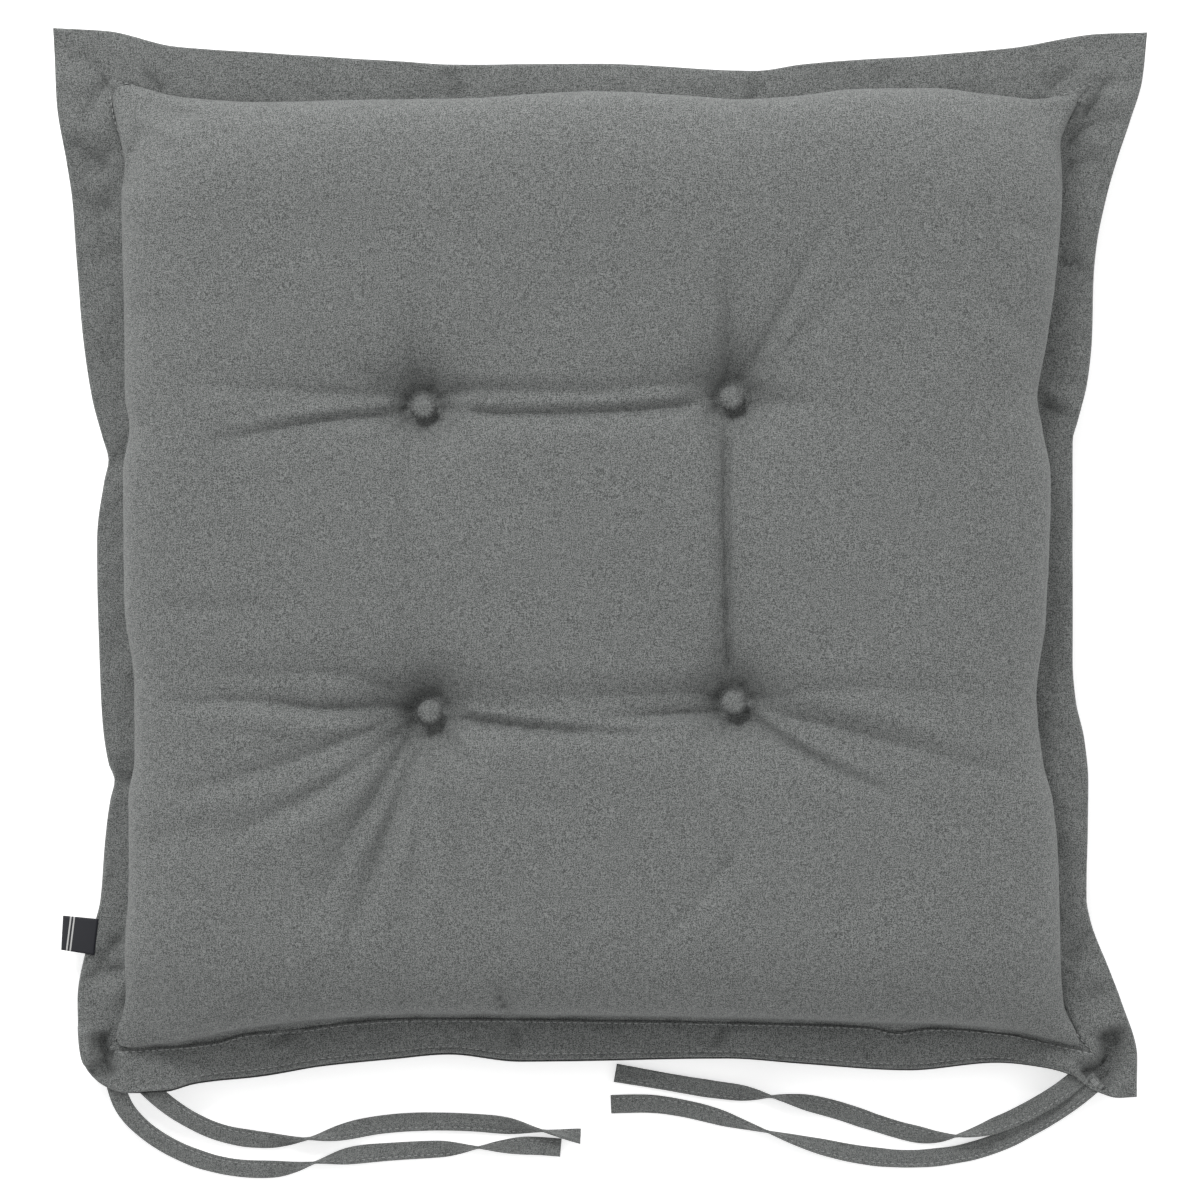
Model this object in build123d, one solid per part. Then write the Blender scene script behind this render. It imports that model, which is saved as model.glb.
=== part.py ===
"""A square tufted seat pad with a flat flange, covered buttons and two pairs of tape ties.

Millimetres. X is across the pad, +Y points to its front edge, -Y to the tied rear edge, +Z up.
The origin is on the surface that the pad rests on, under the middle of the pad.
"""
from build123d import *
import math
import os

# --- The pad's outside ---
pad_width = 502.0  # between the flange's corner tips, across
pad_depth = 490.0  # between the flange's corner tips, front to rear
pad_height = 60.0  # thickness of the stuffed body
seam_height = 16.0  # height of the seam plane, where the two covers meet
side_bow = 25.0  # how far the flange's left and right edges are drawn in at their middles
end_bow = 16.0  # the same at its front and rear edges
flange_tip_radius = 4.0

# --- The flange and the stuffed body inside it ---
flange_at_tip_x = 27.0  # from a flange tip in to the body's corner, across
flange_at_tip_y = 24.0  # the same, front to rear
body_side_bow = 14.0
body_end_bow = 9.0
body_corner_radius = 30.0
crown_radius = 26.0  # rounding of the body's upper edge
base_radius = 11.0  # rounding of the body's lower edge
flange_layer = 1.5  # each cover's cloth with its seam allowance turned in

# --- Cloth and fillings, from the outside in ---
cover_cloth = 0.8
wadding = 8.0

# --- Tufts: buttons drawn together by twine through the pad ---
tuft_pitch_x = 138.0
tuft_pitch_y = 138.0
tuft_offset_x = -9.0
tuft_offset_y = 3.5
tuft_wander = {  # how far each hand-set tuft is off the even spacing
    "front_left": (-2.0, -2.0),
    "front_right": (-0.5, 2.0),
    "rear_left": (1.0, -2.0),
    "rear_right": (0.5, 2.0),
}
upper_tuft_depth = 18.0
under_tuft_depth = 8.5
upper_tuft_mouth = 34.0  # radius at which the funnel meets the pad's face
under_tuft_mouth = 26.0
tuft_floor = 7.0  # radius of the funnel's flat floor
tuft_lip = 1.0  # how far above the face the funnel's curve would run out level

# --- Buttons ---
button_radius = 5.5
button_height = 5.0
button_skirt = 2.0  # height of the straight rim
button_cloth = 0.5
button_shell = 0.4
button_back = 0.8
turned_edge = 1.9  # how far the cloth is turned in under the rim
fit_gap = 0.05  # between the pieces of a button

# --- Twine ---
twine_radius = 0.6
knot_radius = 1.1
needle_gap = 0.1  # between the twine and the holes that it passes through

# --- Sewing thread ---
thread_width = 0.6
thread_rise = 0.35
body_stitch_gap = 0.8  # from the foot of the body out to the row round it
closing_stitch_gap = 3.0  # from the rear edge in to the closing row
closing_stitch_half = 188.0  # half the length of the closing row

# --- Ties: flat tape, 8 mm wide, in pairs at the two rear corners ---
tie_width = 8.0
tail_thickness = 1.0
tail_inside = 14.0  # length sewn in between the flange's layers
tail_outside = 2.0  # length that shows behind the flange before the tape's fold
tack_length = 9.0
tack_width = 2.0
tack_inside = 5.0  # from the rear edge in to the middle of the bar tack
pocket_gap = 0.05  # round what is sewn in between the layers

# --- Label: a folded woven tab in the left edge ---
label_behind_middle = 171.0  # from the pad's middle back to the label's middle
label_width = 17.0
label_reach = 11.5  # how far its fold is from the edge
label_thickness = 1.2
label_fold_gap = 2.0  # from the edge out to the free flap
label_tail_inside = 8.0
label_tail_outside = 1.2

# Routes of the ties, limp and laid on the surface. Each point is (in from the flange tip's X,
# behind the flange tip's Y, height), and the first is on the tie's hinge.
floor = tie_width / 2
tie_routes = {
    "left_inner": [
        (52.5, 2.0, seam_height), (61.5, 9.0, 11.5), (74.5, 15.5, 6.5), (91.0, 19.0, floor),
        (110.0, 19.5, floor), (128.0, 15.5, floor), (146.0, 12.0, floor), (166.0, 10.5, floor),
        (188.0, 11.5, floor), (209.0, 14.5, floor), (228.0, 16.5, floor), (242.0, 18.0, floor),
    ],
    "left_outer": [
        (31.0, 2.5, seam_height), (34.5, 12.0, 12.0), (43.5, 21.5, 7.5), (57.0, 29.0, floor),
        (74.0, 33.5, floor), (94.0, 34.5, floor), (115.0, 32.0, floor), (134.0, 28.5, floor),
        (155.0, 27.0, floor), (177.0, 25.5, floor), (199.0, 26.5, floor), (216.0, 28.5, floor),
        (229.0, 31.5, floor),
    ],
    "right_inner": [
        (51.5, 2.0, seam_height), (60.5, 8.5, 11.5), (73.5, 14.5, 6.5), (89.5, 18.5, floor),
        (106.0, 18.0, floor), (123.0, 13.0, floor), (141.0, 7.5, floor), (160.0, 3.5, floor),
        (180.0, 1.0, floor), (201.0, -2.5, floor), (222.0, -5.5, floor), (242.0, -9.0, floor),
    ],
    "right_outer": [
        (30.5, 2.5, seam_height), (35.0, 11.5, 12.0), (45.0, 20.0, 7.5), (59.5, 26.5, floor),
        (77.5, 31.0, floor), (97.5, 32.5, floor), (118.5, 31.0, floor), (139.0, 26.5, floor),
        (158.0, 21.0, floor), (176.5, 15.5, floor), (195.0, 11.0, floor), (214.5, 8.0, floor),
        (233.5, 6.5, floor), (247.0, 7.0, floor),
    ],
}
run_share = 0.45  # share of the shorter run that an arc may take


def corner_centre(x, y, radius_x, radius_y, bow_x, bow_y, corner):
    """Centre of the round corner that is tangent to a bowed side and a bowed end."""
    side_x = x - bow_x + radius_x
    end_y = y - bow_y + radius_y
    apart = math.hypot(side_x, end_y)
    reach = radius_x + corner
    along = (reach ** 2 - (radius_y + corner) ** 2 + apart ** 2) / (2 * apart)
    off = math.sqrt(reach ** 2 - along ** 2)
    return Vector(
        side_x - (along * side_x + off * end_y) / apart,
        (along * end_y - off * side_x) / apart,
    )


def outline(width, depth, bow_x, bow_y, corner, inset):
    """A square whose sides are drawn in to shallow arcs, with round corners, drawn in evenly."""
    x = width / 2
    y = depth / 2
    radius_x = (y ** 2 + bow_x ** 2) / (2 * bow_x)
    radius_y = (x ** 2 + bow_y ** 2) / (2 * bow_y)
    centre = corner_centre(x, y, radius_x, radius_y, bow_x, bow_y, corner)
    to_side = (Vector(x - bow_x + radius_x, 0) - centre).normalized()
    to_end = (Vector(0, y - bow_y + radius_y) - centre).normalized()
    side = centre + to_side * (corner - inset)
    end = centre + to_end * (corner - inset)
    tip = centre + (to_side + to_end).normalized() * (corner - inset)
    middle_x = x - bow_x - inset
    middle_y = y - bow_y - inset
    edges = []
    for s in (1, -1):
        edges += [
            ThreePointArc((s * side.X, -s * side.Y), (s * middle_x, 0), (s * side.X, s * side.Y)),
            ThreePointArc((s * side.X, s * side.Y), (s * tip.X, s * tip.Y), (s * end.X, s * end.Y)),
            ThreePointArc((s * end.X, s * end.Y), (0, s * middle_y), (-s * end.X, s * end.Y)),
            ThreePointArc((-s * end.X, s * end.Y), (-s * tip.X, s * tip.Y), (-s * side.X, s * side.Y)),
        ]
    return make_face(edges)


def flange_outline(inset=0.0):
    return outline(pad_width, pad_depth, side_bow, end_bow, flange_tip_radius, inset)


def body_outline(inset=0.0):
    width = pad_width - 2 * flange_at_tip_x
    depth = pad_depth - 2 * flange_at_tip_y
    return outline(width, depth, body_side_bow, body_end_bow, body_corner_radius, inset)


def bowed(half_span, bow, along):
    """How far a bowed edge is drawn in at a distance along from its middle."""
    radius = (half_span ** 2 + bow ** 2) / (2 * bow)
    return bow - radius + math.sqrt(radius ** 2 - along ** 2)


def slab(face, low, high):
    """The face, drawn on the XY plane, as a solid between two heights."""
    return extrude(Pos(0, 0, low) * face, high - low, dir=(0, 0, 1))


def revolved(*edges):
    """A solid of revolution about Z from a closed outline in the XZ plane."""
    return revolve(make_face(Plane.XZ * Wire(edges)), Axis.Z)


# --- The stuffed body, as nested forms ---
def tuft_places():
    """Each tuft's name with its place, across and front to rear."""
    places = {}
    for name, (wander_x, wander_y) in tuft_wander.items():
        side_x = -1 if name.endswith("left") else 1
        side_y = 1 if name.startswith("front") else -1
        x = tuft_offset_x + side_x * tuft_pitch_x / 2 + wander_x
        y = tuft_offset_y + side_y * tuft_pitch_y / 2 + wander_y
        places[name] = (x, y)
    return places


tufts = tuft_places()


def funnel(depth, mouth, inset):
    """Cutter for a tuft's funnel under a face at z = 0, sunk evenly by inset below the cloth."""
    run = mouth - tuft_floor
    rise = depth + tuft_lip
    bend = (run ** 2 + rise ** 2) / (4 * rise)
    slope = 2 * math.atan2(rise, run)
    bottom = -depth - inset
    middle_r = tuft_floor + (bend + inset) * math.sin(slope)
    middle_z = bottom + (bend + inset) * (1 - math.cos(slope))
    brim = tuft_lip - inset
    lower = TangentArc((tuft_floor, bottom), (middle_r, middle_z), tangent=(1, 0))
    upper = TangentArc((middle_r, middle_z), (mouth, brim), tangent=lower % 1)
    rest = Polyline((mouth, brim), (mouth, depth), (0, depth), (0, bottom), (tuft_floor, bottom))
    return revolved(*lower.edges(), *upper.edges(), *rest.edges())


def upper_form(inset):
    """The body above the seam plane, drawn in evenly by inset."""
    form = slab(body_outline(inset), seam_height, pad_height - inset)
    crown = form.faces().sort_by(Axis.Z)[-1].edges()
    form = fillet(crown, crown_radius - inset)
    cutter = funnel(upper_tuft_depth, upper_tuft_mouth, inset)
    for x, y in tufts.values():
        form -= Pos(x, y, pad_height) * cutter
    return form


def under_form(inset):
    """The body below the seam plane, drawn in evenly by inset."""
    form = slab(body_outline(inset), inset, seam_height)
    base = form.faces().sort_by(Axis.Z)[0].edges()
    form = fillet(base, base_radius - inset)
    cutter = mirror(funnel(under_tuft_depth, under_tuft_mouth, inset), Plane.XY)
    for x, y in tufts.values():
        form -= Pos(x, y, 0) * cutter
    return form


def needle_holes():
    """A hole through everything at each tuft."""
    hole = Cylinder(twine_radius + needle_gap, 2 * pad_height)
    return [Pos(x, y, pad_height / 2) * hole for x, y in tufts.values()]


# --- What is sewn in between the flange's layers ---
def tie_sites():
    """Each tie's name with the X of its root and the Y of the rear edge there."""
    sites = {}
    for name, route in tie_routes.items():
        side = -1 if name.startswith("left") else 1
        x = side * (pad_width / 2 - route[0][0])
        sites[name] = (x, bowed(pad_width / 2, end_bow, x) - pad_depth / 2)
    return sites


sites = tie_sites()


def tie_tail(name, gap):
    """The sewn-in end of a tie, grown by gap for the pocket round it."""
    x, edge = sites[name]
    length = tail_inside + tail_outside + gap
    middle = edge + (tail_inside + gap - tail_outside) / 2
    return Pos(x, middle, seam_height) * Box(tie_width + 2 * gap, length, tail_thickness + 2 * gap)


label_edge = bowed(pad_depth / 2, side_bow, label_behind_middle) - pad_width / 2
label_edge_radius = ((pad_depth / 2) ** 2 + side_bow ** 2) / (2 * side_bow)
label_turn = math.degrees(math.asin(label_behind_middle / label_edge_radius))
label_place = Pos(label_edge, -label_behind_middle, seam_height) * Rot(0, 0, 180 - label_turn)


def label_block(start, end, gap):
    """Part of the label from start to end, measured outward from the flange's edge."""
    size = Box(end - start, label_width + 2 * gap, label_thickness + 2 * gap)
    return label_place * Pos((start + end) / 2, 0, 0) * size


# --- Pieces ---
def covers():
    """The two cloth covers, each a shell with its own layer of the flange."""
    flange = flange_outline() - body_outline(cover_cloth / 2)
    top = upper_form(0) - upper_form(cover_cloth)
    top += slab(flange, seam_height, seam_height + flange_layer)
    under = under_form(0) - under_form(cover_cloth)
    under += slab(flange, seam_height - flange_layer, seam_height)
    cuts = needle_holes()
    cuts += [tie_tail(name, pocket_gap) for name in sites]
    cuts += [label_block(-label_tail_inside - pocket_gap, label_thickness, pocket_gap)]
    return {"top_cover": top - cuts, "under_cover": under - cuts}


def fillings():
    """Two layers of wadding and the foam slab between them."""
    core = cover_cloth + wadding
    holes = needle_holes()
    top = upper_form(cover_cloth) - upper_form(core)
    under = under_form(cover_cloth) - under_form(core)
    foam = upper_form(core) + under_form(core)
    return {
        "wadding_top": top - holes,
        "wadding_under": under - holes,
        "foam_core": foam - holes,
    }


def stitching():
    """The row of thread round the body's foot and the row that closes the rear edge, both faces."""
    near = body_stitch_gap
    around = body_outline(-near - thread_width) - body_outline(-near)
    closing = flange_outline(closing_stitch_gap) - flange_outline(closing_stitch_gap + thread_width)
    closing &= Pos(0, -pad_depth / 2) * Rectangle(2 * closing_stitch_half, pad_depth / 4)
    upper_face = seam_height + flange_layer
    under_face = seam_height - flange_layer
    rows = {}
    for name, row in {"body_stitching": around, "closing_stitching": closing}.items():
        upper = slab(row, upper_face, upper_face + thread_rise)
        under = slab(row, under_face - thread_rise, under_face)
        rows[name] = Compound([*upper.solids(), *under.solids()])
    return rows


def tails_and_tacks():
    """The ties' sewn-in ends, and the bar tacks that hold them on both faces of the flange."""
    pieces = {}
    tacks = {"left": [], "right": []}
    lift = flange_layer + thread_rise / 2
    for name, (x, edge) in sites.items():
        pieces["tie_tail_" + name] = tie_tail(name, 0)
        tack = Pos(x, edge + tack_inside, seam_height) * Box(tack_length, tack_width, thread_rise)
        tacks[name.split("_")[0]] += [Pos(0, 0, lift) * tack, Pos(0, 0, -lift) * tack]
    for side, solids in tacks.items():
        pieces["bar_tacks_" + side] = Compound(solids)
    return pieces


def dome(radius, height, skirt):
    """A button's shape: a straight rim with a domed top."""
    top = TangentArc((0, height), (radius, skirt), tangent=(1, 0))
    rest = Polyline((radius, skirt), (radius, 0), (0, 0), (0, height))
    return revolved(*top.edges(), *rest.edges())


def button():
    """Cloth, shell and back of one button, standing on z = 0."""
    cloth = dome(button_radius, button_height, button_skirt)
    inner = button_radius - button_cloth
    inner_height = button_height - 2 * button_cloth
    cloth -= Pos(0, 0, button_cloth) * dome(inner, inner_height, button_skirt - button_cloth)
    cloth -= Cylinder(button_radius - turned_edge, 2 * button_cloth)
    seat = button_cloth + fit_gap
    outer = button_radius - seat
    outer_height = button_height - 2 * seat
    shell = dome(outer, outer_height, button_skirt - seat)
    hollow = dome(outer - button_shell, outer_height - button_shell, button_skirt - seat)
    back = Cylinder(outer - button_shell - fit_gap, button_back)
    back -= Cylinder(twine_radius + needle_gap, 2 * button_back)
    return {
        "cloth": cloth,
        "shell": Pos(0, 0, seat) * (shell - hollow),
        "back": Pos(0, 0, seat + button_back / 2) * back,
    }


def buttons():
    """A button on each end of each tuft, the under ones facing down."""
    pieces = {}
    for name, (x, y) in tufts.items():
        for part, solid in button().items():
            upper = Pos(x, y, pad_height - upper_tuft_depth) * solid
            under = Pos(x, y, under_tuft_depth) * Rot(180, 0, 0) * solid
            pieces[f"upper_button_{part}_{name}"] = upper
            pieces[f"under_button_{part}_{name}"] = under
    return pieces


def twines():
    """The twine of each tuft, with a knot inside the button at each end."""
    knot_rise = button_cloth + button_back + 2 * fit_gap + knot_radius
    high = pad_height - upper_tuft_depth + knot_rise
    low = under_tuft_depth - knot_rise
    strand = Pos(0, 0, (low + high) / 2) * Cylinder(twine_radius, high - low)
    twine = strand + Pos(0, 0, high) * Sphere(knot_radius) + Pos(0, 0, low) * Sphere(knot_radius)
    return {"twine_" + name: Pos(x, y, 0) * twine for name, (x, y) in tufts.items()}


def label():
    """The free flap of the folded label, and its ends held in the seam."""
    return {
        "label_flap": label_block(label_fold_gap, label_reach, 0),
        "label_tail": label_block(-label_tail_inside, label_tail_outside, 0),
    }


def tie_points(name):
    """The route of a tie, from its distances to the rear corner's flange tip."""
    side = -1 if name.startswith("left") else 1
    points = []
    for inward, behind, height in tie_routes[name]:
        points.append(Vector(side * (pad_width / 2 - inward), -pad_depth / 2 - behind, height))
    return points


def arc_radii(points):
    """The largest arc that the two runs beside each point leave room for."""
    radii = []
    for before, here, after in zip(points, points[1:], points[2:]):
        turn = math.radians((here - before).get_angle(after - here))
        shorter = min((here - before).length, (after - here).length)
        radii.append(run_share * shorter / math.tan(turn / 2))
    return radii


def ties():
    """The free stretch of each tie, as a plain round tube as wide as the tape."""
    pieces = {}
    for name in tie_routes:
        points = tie_points(name)
        radii = arc_radii(points)
        path = FilletPolyline(*points, radius=radii)
        section = Plane(path @ 0, z_dir=path % 0) * Circle(tie_width / 2)
        tube = sweep(section, path)
        ratio = tube.volume / (section.area * path.length)
        print(f"tie_{name}: length {path.length:.1f}, volume over section x length {ratio:.4f}")
        print("  radii", [round(radius) for radius in radii])
        pieces["tie_" + name] = tube
    return pieces


def main():
    pieces = {}
    for group in (covers, fillings, stitching, tails_and_tacks, buttons, twines, label, ties):
        pieces.update(group())
    os.makedirs("parts", exist_ok=True)
    for name, shape in pieces.items():
        export_step(shape, f"parts/{name}.step")
    print(len(pieces), "nodes")


main()
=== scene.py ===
"""Chair seat pad: a square tufted pad in grey melange cloth.

It has a flat flange all round, covered buttons, tape ties at the rear corners and a label in the left edge.

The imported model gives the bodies, the buttons' places and the overall box. Lengths below are millimetres, and become
metres where a mesh is made. The front edge is +Y.
"""

import math

import bmesh
import bpy
import numpy as np
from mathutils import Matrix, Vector


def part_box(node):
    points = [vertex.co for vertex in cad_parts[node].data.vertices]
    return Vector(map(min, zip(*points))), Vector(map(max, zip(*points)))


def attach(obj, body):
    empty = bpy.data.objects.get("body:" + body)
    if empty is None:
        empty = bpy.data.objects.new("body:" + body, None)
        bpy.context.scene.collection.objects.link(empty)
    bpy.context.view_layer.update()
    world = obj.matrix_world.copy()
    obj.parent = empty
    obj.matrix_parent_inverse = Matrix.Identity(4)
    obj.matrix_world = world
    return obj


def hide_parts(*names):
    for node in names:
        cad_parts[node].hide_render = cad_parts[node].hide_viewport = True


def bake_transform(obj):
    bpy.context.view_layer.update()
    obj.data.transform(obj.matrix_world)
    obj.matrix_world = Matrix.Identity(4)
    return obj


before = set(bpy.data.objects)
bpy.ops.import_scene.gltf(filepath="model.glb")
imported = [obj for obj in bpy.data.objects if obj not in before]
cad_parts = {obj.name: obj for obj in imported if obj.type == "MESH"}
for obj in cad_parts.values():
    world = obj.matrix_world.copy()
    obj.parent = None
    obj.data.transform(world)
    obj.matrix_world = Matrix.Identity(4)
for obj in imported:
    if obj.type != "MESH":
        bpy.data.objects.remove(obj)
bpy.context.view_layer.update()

MM = 0.001
CORNERS = ("front_left", "front_right", "rear_left", "rear_right")

# Heights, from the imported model
PAD_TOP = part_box("top_cover")[1].z / MM
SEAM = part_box("closing_stitching")[0].z / MM / 2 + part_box("closing_stitching")[1].z / MM / 2

# The stitched line round the padding, side by side from corner to corner: (coordinate along the side, across it)
STITCHED = {
    "left": [(-222.8, -225), (-214, -218.5), (-204, -213.5), (-182, -211), (-140, -209), (-73, -205.5), (0, -209.5),
             (61, -208), (120, -210.5), (165, -211.5), (184, -214.5), (202, -221), (220.5, -224.6)],
    "right": [(-223.7, 225), (-213, 216), (-200, 210), (-175, 205.5), (-120, 200), (-62, 193), (0, 197), (38, 198),
              (75, 194), (110, 199), (160, 204.5), (190, 207.5), (205, 214.5), (218.4, 223.4)],
    "rear": [(-225, -222.8), (-194, -221), (-174, -218.7), (-163, -215.5), (-137, -213.2), (-114, -210),
             (-82, -208.2), (0, -209.1), (92, -210.9), (123, -212.3), (135, -214.6), (151, -212.7),
             (183, -215), (206, -219.6), (225, -223.7)],
    "front": [(-224.6, 220.5), (-214, 218), (-200, 213), (-176, 208), (-120, 206), (-60, 206.5), (0, 209), (63, 206),
              (110, 209.5), (160, 210), (185, 208.5), (205, 211.5), (223.4, 218.4)],
}
# The same for the fattest line of the plump sides, which hangs over the stitching
BULGE = {
    "left": [(-222.8, -225), (-214, -221), (-205, -217.6), (-196, -216.2), (-182, -216.4), (-140, -214.3),
             (-108, -214.6), (-88, -211.8),
             (-58, -211.8), (-17, -216.4), (42, -216.9), (61, -214), (75, -216), (120, -216.6),
             (168, -217.8), (180, -216.6), (192, -218.6), (206, -222), (220.5, -224.6)],
    "right": [(-223.7, 225), (-214, 217), (-202, 211.5), (-182, 209.8), (-131, 208.2), (-108, 205.9), (-90, 201.5),
              (-60, 198.6), (-26, 202.7), (38, 205), (60, 201.5), (75, 199), (102, 203.6), (139, 208.2),
              (170, 210.4), (190, 210), (200, 213), (209, 217.6), (218.4, 223.4)],
    "rear": [(-225, -222.8), (-194, -218.5), (-163, -212), (-114, -206.5), (-82, -205), (0, -205.8), (92, -207.6),
             (123, -209), (151, -209.5), (183, -212), (206, -217.4), (225, -223.7)],
    "front": [(-224.6, 220.5), (-214, 218.4), (-196, 213.4), (-176, 210.6), (-150, 209.6), (-115, 210.5),
              (-60, 211.4), (-23, 213.7), (0, 214.6),
              (37, 212.7), (63, 210.9), (92, 212.7), (115, 215.5), (151, 215.9), (178, 213.2), (196, 211.8),
              (210, 213.2), (223.4, 218.4)],
}
# The same for the flange's outer edge, with the places where it is tucked in
FLANGE_EDGE = {
    "left": [(-235.5, -232.5), (-232, -235.2), (-226, -237.6), (-218, -238.6), (-200, -239.2), (-176, -235.2),
             (-165, -231.5), (-154, -228.8), (-125, -226.5), (-108, -224.2), (-99.3, -222.3), (-92, -225),
             (-76, -227.6), (-44, -229.2), (10, -230.4), (38, -227), (47, -225.1), (58, -228), (75, -232.5),
             (102, -236.5), (140, -239.8), (166, -241.6), (184, -244.3), (212, -248.9), (230, -249.8), (245.2, -250.6)],
    "right": [(-244.6, 246), (-227, 246.1), (-200, 238.4), (-182, 231.5), (-173, 227.8), (-163, 224.5),
              (-154, 222.8), (-100, 223.6), (-81, 221.9), (-63, 217.8), (-44, 216.4), (0, 216.4), (56, 216.4),
              (65, 218.7), (84, 223.3), (102, 225.1), (130, 226), (148, 227.8), (166, 231.5), (184, 236.5),
              (203, 242.9), (221, 248.4), (243.3, 250.9)],
    "rear": [(-232.5, -235.5), (-228.5, -238.6), (-223.5, -241), (-216, -242.6), (-199, -242), (-185.3, -238.4),
             (-155.6, -235.2), (-128.1, -230.6), (-91.5, -226.9), (-68.6, -225.1), (-36.6, -228.3),
             (57.2, -226.9), (91.5, -229.2), (141.8, -232.4), (183, -228.8), (203.6, -231), (215, -234.2),
             (226.9, -242), (238, -245), (246, -244.6)],
    "front": [(-250.6, 245.2), (-226.5, 243.9), (-194.4, 236.5), (-148.7, 233.3), (-91.5, 229.7),
              (-68.6, 228.3), (0, 228.8), (71, 225.5), (91.5, 228.3), (160, 233.3), (190, 236.1), (229, 242.5),
              (250.9, 243.3)],
}

# The side wall of the padding, in section
SIDE_RUN = 46  # how far in the cover takes to level out
SIDE_CLOTH = 84  # the length of cloth over that run
SIDE_BELLY = 13  # height of the fattest part of the side, above the seam
BELLY_SHARE = 0.16  # share of that cloth below the fattest part
CORNER_PINCH = 0.74  # how much lower the padding is at its pointed corners
CORNER_REACH = 36  # and how far from a corner that reaches
UNDER_RUN = 20  # the same run and cloth for the under cover's edge
UNDER_CLOTH = 28
PANEL_SPAN = (440, 436)  # about how wide and deep the padding is, for spacing a panel's grid

# The tufts
TUFT_DEPTH = 18
TUFT_WELL = ((0.84, 12, 1.1), (0.16, 44, 1.6))  # the well's slope: share of the depth, radius, sharpness
TUFT_SEAT = 6.2  # radius of the flat place under a button
UNDER_TUFT_DEPTH = 8.2
UNDER_TUFT_SEAT = 6.5

# Gentle unevenness of the stuffed face: height, size, seed
HILLS = ((0.9, 64, 3), (0.45, 27, 4), (0.16, 9, 5))


def smooth_line(knots):
    """A curve through (place, value) knots that never overshoots them, as a function of place."""
    x, y = (np.array(k, float) for k in zip(*sorted(knots)))
    run = np.diff(x)
    slope = np.diff(y) / run
    lean = np.zeros_like(y)
    lean[0], lean[-1] = slope[0], slope[-1]
    near, far = 2 * run[1:] + run[:-1], run[1:] + 2 * run[:-1]
    turning = slope[1:] * slope[:-1] <= 0
    before, after = np.where(turning, 1, slope[:-1]), np.where(turning, 1, slope[1:])
    lean[1:-1] = np.where(turning, 0, (near + far) / (near / before + far / after))

    def line(at):
        at = np.clip(at, x[0], x[-1])
        k = np.clip(np.searchsorted(x, at) - 1, 0, len(run) - 1)
        t = (at - x[k]) / run[k]
        start = (1 + 2 * t) * (1 - t) ** 2 * y[k] + t * (1 - t) ** 2 * run[k] * lean[k]
        return start + t * t * (3 - 2 * t) * y[k + 1] + t * t * (t - 1) * run[k] * lean[k + 1]

    return line


def ease(t):
    """0 below 0, 1 above 1, and smooth between."""
    t = np.clip(t, 0, 1)
    return t * t * (3 - 2 * t)


def distance_along(points):
    """How far along a line each of its points lies."""
    return np.concatenate([[0], np.cumsum(np.linalg.norm(np.diff(points, axis=0), axis=1))])


def read_line(at, far, points):
    """Places on a line of points in space, at these distances along it: x, y and z apart."""
    return [np.interp(at, far, points[:, k]) for k in range(3)]


def undulation(x, y, size, seed):
    """Gentle random hills of about that size, from -1 to 1, the same every run."""
    hills = np.random.default_rng(seed).uniform(-1, 1, (97, 97))
    gx, gy = np.asarray(x) / size + 500.5, np.asarray(y) / size + 500.5
    i, j = np.floor(gx).astype(int), np.floor(gy).astype(int)
    u, v = ease(gx - i), ease(gy - j)
    low = hills[i % 97, j % 97] * (1 - u) + hills[(i + 1) % 97, j % 97] * u
    high = hills[i % 97, (j + 1) % 97] * (1 - u) + hills[(i + 1) % 97, (j + 1) % 97] * u
    return low * (1 - v) + high * v


# ---------------------------------------------------------------- relief of the upper face

TUFTS = {}
for corner in CORNERS:
    low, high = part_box(f"upper_button_cloth_{corner}")
    TUFTS[corner] = (np.array([(low.x + high.x) / 2, (low.y + high.y) / 2]) / MM)

# Soft valleys where the tufts draw the cloth together: start, end, depth, half-width
VALLEYS = (
    ("front_left", "front_right", 4.2, 12),
    ("rear_left", "rear_right", 4.6, 12),
    ("front_left", "rear_left", 4.2, 11),
    ("front_right", "rear_right", 5.0, 11),
)
OUTER_VALLEYS = (
    ("front_left", (-188, 64), 3.2, 15),
    ("front_left", (-87, 150), 2.0, 13),
    ("front_right", (150, 72), 1.6, 16),
    ("front_right", (58, 160), 2.6, 12),
    ("rear_left", (-200, -64), 3.2, 15),
    ("rear_left", (-130, -170), 3.0, 15),
    ("rear_right", (150, -100), 2.6, 15),
    ("rear_right", (66, -150), 1.4, 16),
)
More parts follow.
